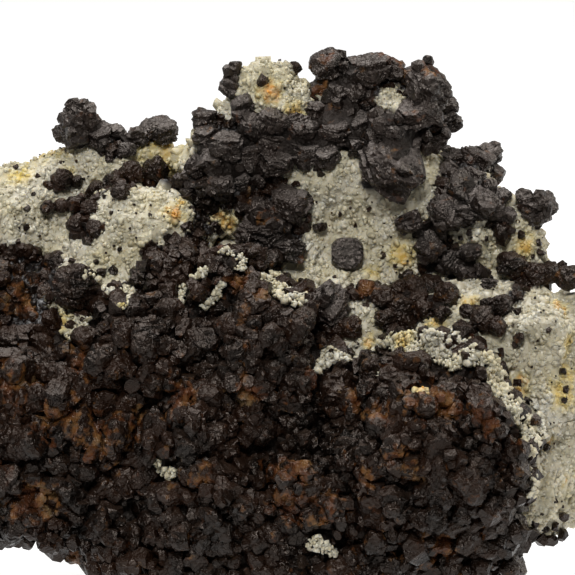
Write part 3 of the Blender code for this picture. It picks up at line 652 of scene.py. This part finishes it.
class Finish:
    """A material with short calls for its nodes."""

    def __init__(self, name):
        self.material = bpy.data.materials.new(name)
        self.material.use_nodes = True
        self.tree = self.material.node_tree
        self.surface = self.tree.nodes["Principled BSDF"]
        self.place = self.tree.nodes.new("ShaderNodeTexCoord").outputs["Object"]

    def node(self, kind, **settings):
        """A node with its settings and input values or links."""
        made = self.tree.nodes.new(kind)
        for name, value in settings.items():
            if name.startswith("set_"):
                setattr(made, name[4:], value)
            else:
                self.plug(made.inputs[name], value)
        return made

    def plug(self, socket, value):
        """Link an output to a socket, or set its value."""
        if isinstance(value, bpy.types.NodeSocket):
            self.tree.links.new(value, socket)
        else:
            socket.default_value = value

    def noise(self, scale, detail=3.0, roughness=0.55):
        """Noise at a scale per metre."""
        made = self.node(
            "ShaderNodeTexNoise", Vector=self.place, Scale=scale, Detail=detail, Roughness=roughness)
        return made.outputs["Fac"]

    def cells(self, scale, feature='F1'):
        """Distance in a field of cells."""
        made = self.node("ShaderNodeTexVoronoi", set_feature=feature, Vector=self.place, Scale=scale)
        return made.outputs["Distance"]

    def value(self, name):
        """A value stored on the mesh."""
        return self.node("ShaderNodeAttribute", set_attribute_name=name).outputs["Fac"]

    def steps(self, value, *stops):
        """A colour ramp of (place, colour) stops; a number stands for a grey."""
        made = self.node("ShaderNodeValToRGB", Fac=value)
        ramp = made.color_ramp
        while len(ramp.elements) < len(stops):
            ramp.elements.new(0.5)
        for element, (place, colour) in zip(ramp.elements, stops):
            element.position = place
            grey = isinstance(colour, (int, float))
            element.color = (colour, colour, colour, 1) if grey else (*colour, 1)
        return made.outputs["Color"]

    def mix(self, factor, first, second, how='MIX'):
        """Two colours mixed."""
        made = self.tree.nodes.new("ShaderNodeMix")
        made.data_type = 'RGBA'
        made.blend_type = how
        self.plug(made.inputs[0], factor)
        for socket, value in ((made.inputs[6], first), (made.inputs[7], second)):
            self.plug(socket, (*value, 1) if isinstance(value, tuple) else value)
        return made.outputs[2]

    def maths(self, how, first, second=0.5):
        """One calculation."""
        made = self.tree.nodes.new("ShaderNodeMath")
        made.operation = how
        self.plug(made.inputs[0], first)
        self.plug(made.inputs[1], second)
        return made.outputs[0]

    def bump(self, height, strength, distance, below=None):
        """Fine relief on top of other relief."""
        made = self.node("ShaderNodeBump", Height=height, Strength=strength, Distance=distance)
        if below is not None:
            self.plug(made.inputs["Normal"], below)
        return made.outputs["Normal"]


def quartz_finish():
    """Cream-white sugary quartz with grey clearer grains, ochre stains and small rusty pricks."""
    look = Finish("quartz_sugar")
    grain = look.steps(
        look.value("tint"),
        (0.0, (0.345, 0.31, 0.235)), (0.35, (0.51, 0.463, 0.355)), (1.0, (0.67, 0.62, 0.505)))
    patches = look.steps(look.noise(260, 4), (0.36, (0.78, 0.77, 0.7)), (0.62, (1.0, 1.0, 1.0)))
    colour = look.mix(1.0, grain, patches, 'MULTIPLY')
    creamy = look.steps(look.noise(120, 3), (0.45, 0.0), (0.7, 0.6))
    colour = look.mix(creamy, colour, (0.54, 0.47, 0.28))
    middle = look.steps(look.value("cover"), (0.35, 0.0), (0.85, 1.0))
    orange = look.maths('MULTIPLY', look.value("orange"), middle)
    stain = look.mix(orange, (0.6, 0.46, 0.11), (0.62, 0.25, 0.015))
    broken = look.steps(look.noise(900, 3), (0.3, 0.5), (0.56, 1.0))
    colour = look.mix(look.mix(1.0, look.value("cover"), broken, 'MULTIPLY'), colour, stain)
    pricks = look.steps(look.cells(700), (0.07, 1.0), (0.11, 0.0))
    where = look.steps(look.noise(180, 2), (0.5, 0.0), (0.62, 1.0))
    colour = look.mix(look.mix(1.0, pricks, where, 'MULTIPLY'), colour, (0.12, 0.055, 0.03))
    colour = look.mix(look.value("dark"), colour, (0.01, 0.0065, 0.005))
    look.plug(look.surface.inputs["Base Color"], colour)
    look.plug(look.surface.inputs["Roughness"], look.steps(look.noise(2200, 2), (0.35, 0.3), (0.7, 0.62)))
    look.surface.inputs["Subsurface Weight"].default_value = 0.5
    look.surface.inputs["Subsurface Radius"].default_value = (1.0, 0.85, 0.6)
    look.surface.inputs["Subsurface Scale"].default_value = 0.7 * MM
    relief = look.bump(look.noise(3200, 4), 0.35, 0.12 * MM)
    relief = look.bump(look.cells(2600), 0.35, 0.1 * MM, relief)
    look.plug(look.surface.inputs["Normal"], relief)
    return look.material


def dark_finish(name, deep, light, dust_and_painted_top_light, warm, roughness, gloss):
    """Dark resinous crystal: brown-black body, painted top light with a little dust on up-facing facets,
    edges lightened by wear and a painted highlight, red-brown and ochre places, fine pits.
    """
    look = Finish(name)
    body = look.steps(look.value("tint"), (0.0, deep), (1.0, light))
    darkest = tuple(0.4 * value for value in deep)
    body = look.mix(look.steps(look.noise(500, 4), (0.42, 0.0), (0.62, 0.85)), body, darkest)
    # Up-facing facets are mixed towards a lighter grey-brown: painted light from above, with a little dust.
    upright = look.node("ShaderNodeNewGeometry").outputs["Normal"]
    upright = look.node("ShaderNodeSeparateXYZ", Vector=upright).outputs["Z"]
    facing_up = look.steps(upright, (0.38, 0.0), (0.85, 1.0))
    dust_and_painted_top_light_share = look.maths('MULTIPLY', facing_up, look.steps(look.noise(420, 4), (0.35, 0.35), (0.6, 1.0)))
    body = look.mix(dust_and_painted_top_light_share, body, dust_and_painted_top_light)
    body = look.mix(look.steps(look.noise(170, 3), (0.42, 0.0), (0.62, 0.7)), body, warm)
    # Edges are mixed towards a lighter brown: partly wear, partly a painted highlight.
    edge = look.value("edge")
    edge = look.maths('MULTIPLY', edge, look.steps(look.noise(700, 3), (0.4, 0.0), (0.65, 0.6)))
    body = look.mix(edge, body, tuple(2.2 * value for value in light))
    rust = look.steps(
        look.noise(330, 3), (0.3, (0.04, 0.014, 0.007)), (0.46, (0.09, 0.03, 0.01)),
        (0.58, (0.16, 0.07, 0.02)), (0.7, (0.16, 0.105, 0.05)))
    place = look.maths('ADD', look.noise(620, 4, 0.6), look.maths('MULTIPLY', look.value("cover"), 0.3))
    place = look.maths('ADD', place, look.maths('MULTIPLY', look.noise(220, 2), 0.3))
    body = look.mix(look.steps(place, (0.77, 0.0), (0.92, 0.85)), body, rust)
    look.plug(look.surface.inputs["Base Color"], body)
    look.plug(look.surface.inputs["Roughness"], look.steps(
        look.noise(1500, 3), (0.3, roughness - 0.14), (0.7, roughness + 0.16)))
    look.surface.inputs["IOR"].default_value = gloss
    look.surface.inputs["Specular Tint"].default_value = (1.0, 0.86, 0.76, 1)
    cracks = look.steps(look.cells(850, 'DISTANCE_TO_EDGE'), (0.0, 0.0), (0.09, 1.0))
    cracks = look.maths('MAXIMUM', cracks, look.steps(look.noise(260, 3), (0.46, 0.0), (0.56, 1.0)))
    relief = look.bump(cracks, 0.45, 0.2 * MM)
    relief = look.bump(look.noise(1300, 5, 0.65), 0.7, 0.25 * MM, relief)
    relief = look.bump(look.cells(2400), 0.5, 0.14 * MM, relief)
    look.plug(look.surface.inputs["Normal"], relief)
    return look.material


QUARTZ = quartz_finish()
# The third colour of each dark finish goes on up-facing facets: painted light from above, with a little
# dust.
BOURNONITE = dark_finish(
    "bournonite_steps", deep=(0.0035, 0.0026, 0.0022), light=(0.017, 0.012, 0.01),
    dust_and_painted_top_light=(0.1, 0.085, 0.076), warm=(0.015, 0.0092, 0.007), roughness=0.28, gloss=1.5)
SPHALERITE = dark_finish(
    "sphalerite_crystals", deep=(0.0018, 0.001, 0.0007), light=(0.008, 0.004, 0.0023),
    dust_and_painted_top_light=(0.034, 0.022, 0.016), warm=(0.019, 0.008, 0.0042), roughness=0.23, gloss=1.39)
GAPS = dark_finish(
    "dark_gaps", deep=(0.0025, 0.0015, 0.001), light=(0.008, 0.005, 0.0035),
    dust_and_painted_top_light=(0.01, 0.007, 0.0055), warm=(0.006, 0.003, 0.002), roughness=0.5, gloss=1.3)


# Skins: refined copies of the frame's solids

TINT_PATCHES = 1.1 * MM
TINT_SEED = 7
WHITE_DEPTH = 0.6 * MM


def skin(name, node, voxel, smoothing, relief, finish, mineral, sunk=0.0, lumps=(), replaced=True):
    """A fine, uneven skin in the shape of a node, which it may replace.

    It can lie sunk below the node's surface. Under the white grains on the crust it lies less deep.
    """
    bm = bmesh.new()
    bm.from_mesh(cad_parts[node].data)
    bmesh.ops.remove_doubles(bm, verts=bm.verts[:], dist=1e-6)
    for across, down, steps in lumps:
        centre = seat(across, down, -steps * STEP)
        bmesh.ops.create_icosphere(
            bm, subdivisions=3, radius=steps * STEP, matrix=Matrix.Translation(Vector(centre)))
    mesh = bpy.data.meshes.new(name)
    bm.to_mesh(mesh)
    bm.free()
    piece = bpy.data.objects.new(name, mesh)
    bpy.context.collection.objects.link(piece)
    remesh = piece.modifiers.new("even", 'REMESH')
    remesh.mode = 'VOXEL'
    remesh.voxel_size = voxel
    smooth = piece.modifiers.new("smooth", 'SMOOTH')
    smooth.iterations = smoothing
    graph = bpy.context.evaluated_depsgraph_get()
    fine = bpy.data.meshes.new_from_object(piece.evaluated_get(graph))
    piece.modifiers.clear()
    piece.data = fine
    points = np.array([vert.co for vert in fine.vertices])
    normals = np.array([vert.normal for vert in fine.vertices])
    lift = sum(height * cloud(points, size, seed) for seed, (height, size) in enumerate(relief))
    if node == "sphalerite_crust_front":
        lift -= np.where(on_bare_quartz(picture_places(points)), WHITE_DEPTH, sunk)
    else:
        lift -= sunk
    points = points + normals * lift[:, None]
    points[:, 2] = np.maximum(points[:, 2], 0.0)
    fine.vertices.foreach_set("co", points.ravel())
    fine.update()
    usual, swing = (0.5, 0.45) if mineral == "quartz" else (0.05, 0.05)
    store(fine, "tint", usual + swing * cloud(points, TINT_PATCHES, TINT_SEED))
    store(fine, "edge", np.zeros(len(points)))
    hang(piece, finish, [node] if replaced else [])
    return piece


# Placing crystals

class Placed:
    """Dark crystals placed so far, as centres and radii, so that the quartz grains keep clear."""

    def __init__(self):
        self.centres, self.radii = [], []

    def add(self, centres, radii):
        """Remember some crystals."""
        self.centres.append(np.atleast_2d(centres))
        self.radii.append(np.atleast_1d(radii))

    def covers(self, points, share=0.8):
        """Which points lie within a share of the radius of a dark crystal's centre."""
        centres, radii = np.concatenate(self.centres), np.concatenate(self.radii)
        tree = KDTree(len(centres))
        for index, centre in enumerate(centres):
            tree.insert(centre, index)
        tree.balance()
        widest = radii.max() * share
        inside = np.zeros(len(points), bool)
        for index, point in enumerate(points):
            for _, other, distance in tree.find_range(point, widest):
                if distance < radii[other] * share:
                    inside[index] = True
                    break
        return inside


placed = Placed()
rng = np.random.default_rng(12)
BOURNONITE_SHAPES = shape_set(bournonite_faces, 36, rng)
QUARTZ_SHAPES = shape_set(quartz_faces, 60, rng)
GRAIN_SHAPES = shape_set(grain_faces, 40, rng)
ROUGH_SHAPES = rough_set(3, bournonite_faces, 30, rng) + rough_set(3, sphalerite_faces, 10, rng)
ROUGH_SMALL = rough_set(2, bournonite_faces, 40, rng)
KEY_ALLOWANCE = 1.07


def key_level(radius):
    """How fine a stepped crystal is, by its radius in steps of the picture."""
    return 5 if radius >= 15 else 4 if radius >= 8.5 else 3


def crystal_axes(count, rng, behind=False):
    """Uprights of key crystals: mostly up, and leaning towards the eye, or away from it behind."""
    lean = np.array((0, 0.6 if behind else -0.55, 1.0))
    return unit(lean + rng.normal(0, 0.38, (count, 3)))


def dress_group(crystals, mineral, rng, behind):
    """Stepped crystals of one group, with smaller ones grown against them, in place of its solid."""
    stepped = mineral == "bournonite"
    faces_of = bournonite_faces if stepped else sphalerite_faces
    shapes = ROUGH_SMALL if stepped else GRAIN_SHAPES
    pile = Pile()
    seat_of = seat_behind if behind else seat
    centres, radii = [], []
    for across, down, steps in crystals:
        radius = steps * STEP * KEY_ALLOWANCE
        centre = seat_of(across, down, radius)
        centres.append(centre)
        radii.append(radius)
        axis = crystal_axes(1, rng, behind)
        pile.add_key(
            key_level(steps), faces_of, centre, radius, leaning(axis, rng)[0], rng.uniform(3.5, 7), rng)
    centres, radii = np.array(centres), np.array(radii)
    placed.add(centres, radii)
    hosts = rng.integers(len(centres), size=int(len(centres) * 1.6))
    away = unit(rng.normal(0, 1, (len(hosts), 3)) + TOWARDS * (-0.3 if behind else 0.3) - UPWARD * 0.5)
    above = away @ UPWARD
    away -= UPWARD * np.maximum(above + 0.1, 0)[:, None]
    sizes = radii[hosts] * rng.uniform(0.4, 0.65, len(hosts))
    small = centres[hosts] + unit(away) * (radii[hosts] * 0.9 - sizes * 0.5)[:, None]
    axes = crystal_axes(len(hosts), rng, behind)
    large = sizes > 1.0 * MM
    for chosen, ready in ((large, ROUGH_SHAPES), (~large, shapes)):
        pile.scatter(ready, small[chosen], sizes[chosen], leaning(axes[chosen], rng), rng)
    return pile


def cover_links(pile, name, mineral, rng):
    """Cover what joins a group's large crystals with small ones, so that only crystals show."""
    points, normals = surface_samples(name, 2500, rng)
    keep = spread_out(points, 1.15 * MM)
    points, normals = points[keep], normals[keep]
    bare = ~placed.covers(points, 1.1)
    points, normals = points[bare], normals[bare]
    shapes = BOURNONITE_SHAPES if mineral == "bournonite" else GRAIN_SHAPES
    sizes = rng.uniform(0.6, 1.2, len(points)) * MM
    pile.scatter(shapes, points - normals * sizes[:, None] * 1.05, sizes, turns(len(points), rng), rng)
    placed.add(points, sizes)


FINISHES = {"bournonite": BOURNONITE, "sphalerite": SPHALERITE}
GAP_RELIEF = [(0.3 * MM, 1.6 * MM)]
GAP_VOXEL = 0.9 * MM
GAP_DEPTH = 0.75 * MM
FIRST_GROUP_SEED = 100


def build_groups():
    """Each group's crystals, over a dark skin that closes the gaps between them."""
    for seed, (name, crystals) in enumerate(GROUPS.items(), FIRST_GROUP_SEED):
        rng = np.random.default_rng(seed)
        mineral = name.split("_")[0]
        pile = dress_group(crystals, mineral, rng, name in ON_THE_BACK)
        cover_links(pile, name, mineral, rng)
        pile.build(name + "_crystals", FINISHES[mineral], mineral, [name])
        if len(crystals) > 1:
            skin(name + "_between", name, GAP_VOXEL, 1, GAP_RELIEF, GAPS, mineral, GAP_DEPTH, replaced=False)


build_groups()


def tablet_faces(_):
    """Directions and depths of the square tablet: two square faces, four sides and trimmed edges."""
    sides = np.array([(1, 0, 0), (-1, 0, 0), (0, 1, 0), (0, -1, 0)], float)
    corners = np.array([(1, 1, 0), (1, -1, 0), (-1, 1, 0), (-1, -1, 0)], float)
    rims = np.array([(x, y, z) for z in (-1, 1) for x, y, _ in sides], float)
    faces = unit(np.concatenate((CUBE[4:], sides, corners, rims)))
    return faces, np.concatenate(([0.6, 0.6], np.ones(4), np.full(4, 1.41), np.full(8, 1.2)))


def build_tablet():
    """The single square tablet in the hollow."""
    rng = np.random.default_rng(5)
    low, high = (np.array(corner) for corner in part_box("bournonite_tablet"))
    centre = (low + high) / 2
    upright = unit(TOWARDS + UPWARD * 0.1)
    across = RIGHT
    rotation = np.stack((across, np.cross(upright, across), upright), 1)
    pile = Pile()
    points, triangles, edge = stepped_crystal(5, tablet_faces, 3.0, rng, 0.22)
    pile.add(points * 2.05 * MM @ rotation.T + centre, triangles, tint=0.1, edge=edge)
    placed.add(centre, 2.4 * MM)
    pile.build("bournonite_tablet_crystal", BOURNONITE, "bournonite", ["bournonite_tablet"])


build_tablet()


# The crust: seeds seen in the picture, then the rest of its surface

def picture_seeds(spacing, rng):
    """An uneven grid of places over the picture and a little beyond it."""
    across, down = np.meshgrid(np.arange(-8, 583, spacing), np.arange(30, 590, spacing))
    places = np.stack((across.ravel(), down.ravel()), 1).astype(float)
    places += rng.uniform(-0.48, 0.48, places.shape) * spacing
    return places[rng.permutation(len(places))]


def size_at(down):
    """Usual radius of a crust crystal in steps of the picture, larger towards the top."""
    return np.interp(down, (230, 330, 430, 560), (13.5, 13.0, 12.0, 11.0))


def crust_seeds(spacing, reach, rng):
    """Seats over everything dark that the picture shows: point, outward direction, across and down."""
    places = picture_seeds(spacing, rng)
    places = places[clear_of_white(places, reach)]
    found = []
    for across, down in places:
        met = whole.seen(across, down)
        if met is not None and met[2] in ("quartz_matrix", "sphalerite_crust_front"):
            found.append((*met[0], *met[1], across, down))
    return np.array(found)


BUNCH_STEPS = 46
BUNCH_RIM = 16
ABOVE_CRUST = 300
LARGE_CRYSTAL = 1.6 * MM
MEDIUM_CRYSTAL = 1.3 * MM
FINER_STEPS_FROM = 1.85 * MM


def bunches(places, shifts):
    """Bunch of each place, and how far inside its bunch it lies, from 0 at the rim to 1."""
    across, down = np.meshgrid(np.arange(-30, 620, BUNCH_STEPS), np.arange(200, 620, BUNCH_STEPS))
    middles = np.stack((across.ravel(), down.ravel()), 1).astype(float)
    middles += shifts[:len(middles)]
    far = np.linalg.norm(places[:, None] - middles[None], axis=2)
    nearest = np.partition(far, 1, axis=1)
    return far.argmin(1), np.clip((nearest[:, 1] - nearest[:, 0]) / BUNCH_RIM, 0, 1)


def crust_crystals(seeds, shifts, crust_pile, upper_pile, rng):
    """The larger dark crystals that the picture shows, with those above the crust in a pile of their own."""
    upper = seeds[:, 7] < ABOVE_CRUST
    bunch, inner = bunches(seeds[:, 6:8], shifts)
    radius = size_at(seeds[:, 7]) * rng.uniform(0.55, 1.2, len(seeds)) * (0.75 + 0.3 * inner) * STEP
    radius[upper] *= 0.85
    rise = np.where(upper, -0.25 * radius, -0.25 * radius - (1 - inner) * 1.2 * MM + 0.25 * MM)
    centres = seeds[:, :3] + seeds[:, 3:6] * rise[:, None]
    placed.add(centres, radius)
    bunch_turns = turns(bunch.max() + 1, rng)
    tilts = leaning(unit(CUBE[4] * 3.0 + rng.normal(0, 1, (len(seeds), 3))), rng)
    rotations = np.einsum("nij,njk->nik", bunch_turns[bunch], tilts)
    large = radius > LARGE_CRYSTAL
    medium = ~large & (radius > MEDIUM_CRYSTAL)
    for index in np.flatnonzero(large):
        pile = upper_pile if upper[index] else crust_pile
        faces_of = bournonite_faces if rng.random() < 0.6 else sphalerite_faces
        rotation = leaning(crystal_axes(1, rng), rng)[0] if upper[index] else rotations[index]
        level = 3 if radius[index] < FINER_STEPS_FROM else 4
        pile.add_key(level, faces_of, centres[index], radius[index], rotation, rng.uniform(2.5, 5), rng)
    small_shapes = ROUGH_SMALL[:14] + BOURNONITE_SHAPES
    for pile, mask in ((crust_pile, ~upper), (upper_pile, upper)):
        for chosen, shapes in ((medium & mask, ROUGH_SHAPES), (~large & ~medium & mask, small_shapes)):
            pile.scatter(shapes, centres[chosen], radius[chosen], rotations[chosen], rng, 0.3)


def crust_grains(seeds, shifts, pile, rng):
    """The small crystals between the larger ones."""
    inner = bunches(seeds[:, 6:8], shifts)[1]
    upper = seeds[:, 7] < ABOVE_CRUST
    sizes = size_at(seeds[:, 7]) * rng.uniform(0.25, 0.55, len(seeds)) * STEP
    rise = -sizes * rng.uniform(-0.3, 0.5, len(seeds)) - np.where(upper, 0, 1 - inner) * MM
    centres = seeds[:, :3] + seeds[:, 3:6] * rise[:, None]
    kept = (inner < 0.35) | (rng.random(len(seeds)) < 0.3) | upper
    centres, sizes = centres[kept], sizes[kept]
    pile.scatter(GRAIN_SHAPES, centres, sizes, turns(len(sizes), rng), rng, 0.3)
    placed.add(centres, sizes)


def crust_out_of_view(pile, rng):
    """Crystals on the crust where the picture does not show it."""
    points, normals = surface_samples("sphalerite_crust_front", 9000, rng)
    keep = spread_out(points, 1.6 * MM)
    points, normals = points[keep], normals[keep]
    places = picture_places(points)
    beyond = (places[:, 0] < -6) | (places[:, 0] > 581) | (places[:, 1] > 588)
    hidden = beyond | ~np.array([whole.visible(point) for point in points])
    hidden &= ~np.array([rock.within(point) for point in points])
    points, normals = points[hidden], normals[hidden]
    sizes = rng.uniform(0.9, 1.8, len(points)) * MM
    centres = points - normals * (sizes * 0.3)[:, None]
    pile.scatter(GRAIN_SHAPES, centres, sizes, turns(len(points), rng), rng, 0.3)
    placed.add(centres, sizes)


CRUST_RELIEF = [(0.45 * MM, 2.0 * MM), (0.25 * MM, 0.8 * MM)]
CRUST_DEPTH = 1.3 * MM


def build_crust():
    """The crust: large and small crystals over a sunk dark skin."""
    rng = np.random.default_rng(78)
    shifts = rng.uniform(-0.42, 0.42, (400, 2)) * BUNCH_STEPS
    big, small = crust_seeds(11.5, 7.5, rng), crust_seeds(8.0, 3.0, rng)
    crust_pile, upper_pile, fine_pile = Pile(), Pile(), Pile()
    crust_crystals(big, shifts, crust_pile, upper_pile, rng)
    crust_grains(small, shifts, fine_pile, rng)
    crust_out_of_view(fine_pile, rng)
    crust_pile.build("sphalerite_crust_crystals", SPHALERITE, "sphalerite")
    upper_pile.build("sphalerite_upper_crystals", SPHALERITE, "sphalerite")
    fine_pile.build("sphalerite_crust_grains", SPHALERITE, "sphalerite")
    skin(
        "sphalerite_crust_skin", "sphalerite_crust_front", GAP_VOXEL, 1, CRUST_RELIEF, GAPS, "sphalerite",
        CRUST_DEPTH)


build_crust()


# The quartz: an uneven skin under sugar-like grains
ROCK_RELIEF = [(0.75 * MM, 6 * MM), (0.5 * MM, 2.4 * MM), (0.5 * MM, 1.2 * MM)]
ROCK_LUMPS = [
    (148, 158, 12), (165, 158, 13), (182, 158, 12), (140, 152, 8), (262, 68, 14), (281, 71, 14),
    (250, 74, 10), (512, 214, 10), (509, 200, 8), (304, 84, 7), (150, 146, 9), (164, 146, 9),
    (322, 190, 11), (350, 214, 9), (374, 240, 9), (338, 226, 8), (330, 262, 8), (398, 250, 8),
    (310, 276, 8), (402, 214, 8), (292, 184, 9), (366, 268, 8), (312, 214, 8), (340, 174, 8),
    (530, 360, 14), (545, 395, 13), (526, 330, 10), (556, 350, 12), (548, 430, 12), (560, 470, 12),
    (545, 505, 13),
]
rock_skin = skin(
    "quartz_rock", "quartz_matrix", 0.62 * MM, 5, ROCK_RELIEF, QUARTZ, "quartz", lumps=ROCK_LUMPS)


def quartz_grains():
    """Grains over all the quartz that is not covered, finer where the picture shows it."""
    rng = np.random.default_rng(31)
    for name, in_view, count, spacing, smallest, largest in (
        ("quartz_grains_front", True, 90000, 0.45 * MM, 0.22, 0.56),
        ("quartz_grains_back", False, 30000, 1.62 * MM, 0.4, 1.2),
    ):
        points, normals = mesh_samples(rock_skin.data, count, rng)
        above = points[:, 2] > 0.8 * MM
        points, normals = points[above], normals[above]
        seen = np.array([whole.visible(point, 1.4 * MM) for point in points])
        chosen = seen == in_view
        points, normals = points[chosen], normals[chosen]
        keep = spread_out(points, spacing)
        points, normals = points[keep], normals[keep]
        clear = np.array([not crust.within(point) for point in points])
        clear &= ~placed.covers(points)
        points, normals = points[clear], normals[clear]
        sizes = smallest * (largest / smallest) ** rng.random(len(points)) * MM
        pile = Pile()
        deepest, highest = (-0.85, 0.3) if in_view else (-0.7, 0.4)
        centres = points + normals * (sizes * rng.uniform(deepest, highest, len(points)))[:, None]
        pile.scatter(QUARTZ_SHAPES, centres, sizes, turns(len(points), rng), rng, 0.3)
        pile.build(name, QUARTZ, "quartz", soft=True)


quartz_grains()


def druse():
    """Quartz grains grown over the dark crust where the picture shows quartz there."""
    rng = np.random.default_rng(32)
    places = picture_seeds(2.5, rng)
    places = places[on_bare_quartz(places)]
    found = []
    for across, down in places:
        met = whole.seen(across, down)
        if met is not None and met[2] == "sphalerite_crust_front":
            found.append((*met[0], *met[1]))
        if met is not None and met[2] == "sphalerite_crystal_left":
            found.append((*(met[0] + met[1] * 0.25 * MM), *met[1]))
    found = np.array(found)
    sizes = 0.18 * 3.0 ** rng.random(len(found)) * MM
    pile = Pile()
    depths = sizes * rng.uniform(-0.6, 0.6, len(found))
    pile.scatter(QUARTZ_SHAPES, found[:, :3] + found[:, 3:] * depths[:, None], sizes,
                 turns(len(found), rng), rng, 0.4)
    pile.build("quartz_druse", QUARTZ, "quartz", soft=True)


druse()


def specks():
    """Dark grains lying singly on the quartz: the larger ones in their places, pin-sized ones at random."""
    rng = np.random.default_rng(33)
    centres, sizes = [], []
    for across, down, radius in SPECKS:
        met = whole.seen(min(across, LAST_STEP), down)
        if met is not None:
            centres.append(met[0] + met[1] * radius * STEP * (0.8 if radius > 6 else 0.45))
            sizes.append(radius * STEP)
    places = picture_seeds(9, rng)
    places = places[on_bare_quartz(places)]
    for across, down in places[: len(places) // 4]:
        met = whole.seen(across, down)
        if met is not None and met[2] == "quartz_matrix":
            size = rng.uniform(0.7, 1.7) * STEP
            centres.append(met[0] + met[1] * (0.3 * MM + size * 0.4))
            sizes.append(size)
    points, normals = surface_samples("quartz_matrix", 380, rng)
    for point, normal in zip(points, normals):
        if point[2] > 2 * MM and not whole.visible(point) and not crust.within(point):
            size = 0.14 * 4.5 ** rng.random() ** 1.5 * MM
            centres.append(point + normal * (0.2 * MM + size * 0.4))
            sizes.append(size)
    centres, sizes = np.array(centres), np.array(sizes)
    pile = Pile()
    pile.scatter(GRAIN_SHAPES, centres, sizes, turns(len(centres), rng), rng)
    pile.build("sphalerite_specks", SPHALERITE, "sphalerite")


specks()


# Stage, light and camera

def stage():
    """A wide pale floor that glows softly, least in front of the specimen."""
    mesh = bpy.data.meshes.new("floor")
    bm = bmesh.new()
    bmesh.ops.create_grid(bm, x_segments=1, y_segments=1, size=4.0)
    bm.to_mesh(mesh)
    bm.free()
    floor = bpy.data.objects.new("floor", mesh)
    floor.location.z = -0.02 * MM
    bpy.context.collection.objects.link(floor)
    look = Finish("floor_white")
    look.surface.inputs["Base Color"].default_value = (0.3, 0.3, 0.3, 1)
    look.surface.inputs["Roughness"].default_value = 0.9
    look.surface.inputs["Emission Color"].default_value = (1.0, 1.0, 1.0, 1)
    along = look.node("ShaderNodeSeparateXYZ", Vector=look.place).outputs["Y"]
    behind = look.node("ShaderNodeMapRange", Value=along)
    for socket, value in (("From Min", -0.13), ("From Max", 0.0), ("To Min", 0.12), ("To Max", 0.92)):
        behind.inputs[socket].default_value = value
    before = look.node("ShaderNodeMapRange", Value=along)
    for socket, value in (("From Min", -0.4), ("From Max", -0.8), ("To Min", 0.12), ("To Max", 0.42)):
        before.inputs[socket].default_value = value
    strength = look.maths('MAXIMUM', behind.outputs["Result"], before.outputs["Result"])
    look.plug(look.surface.inputs["Emission Strength"], strength)
    mesh.materials.append(look.material)


def area_light(name, place, aim, width, power, colour=(1, 1, 1)):
    """A soft square light."""
    light = bpy.data.lights.new(name, 'AREA')
    light.shape = 'SQUARE'
    light.size = width
    light.energy = power
    light.color = colour
    made = bpy.data.objects.new(name, light)
    made.location = place
    made.rotation_euler = (Vector(place) - Vector(aim)).to_track_quat('Z', 'Y').to_euler()
    bpy.context.collection.objects.link(made)
    return made


def lights():
    """Strong soft light from above and from high in front, weaker from the right, little from the left."""
    middle = Vector((0, 0, 0.04))
    area_light("above", (-0.02, 0.08, 0.43), middle, 0.30, 1.6)
    area_light("left", (-0.42, 0.05, 0.26), middle, 0.25, 0.3)
    area_light("right", (0.42, 0.16, 0.22), middle, 0.22, 0.9, (1.0, 0.96, 0.88))
    area_light("front", (-0.04, -0.44, 0.42), middle, 0.16, 2.4)
    world = bpy.data.worlds.new("room")
    world.use_nodes = True
    back = world.node_tree.nodes["Background"]
    back.inputs["Color"].default_value = (1.0, 1.0, 1.0, 1)
    back.inputs["Strength"].default_value = 0.06
    bpy.context.scene.world = world
    bpy.context.scene.view_settings.view_transform = 'Standard'


def camera():
    """The camera at the picture's viewing angle."""
    lens = bpy.data.cameras.new("camera")
    lens.sensor_width = 36
    lens.lens = 36 / (PICTURE_WIDTH / VIEW_REACH)
    made = bpy.data.objects.new("camera", lens)
    turn = Matrix((RIGHT, UPWARD, TOWARDS)).transposed()
    made.matrix_world = Matrix.Translation(Vector(EYE)) @ turn.to_4x4()
    bpy.context.collection.objects.link(made)
    bpy.context.scene.camera = made


stage()
lights()
camera()
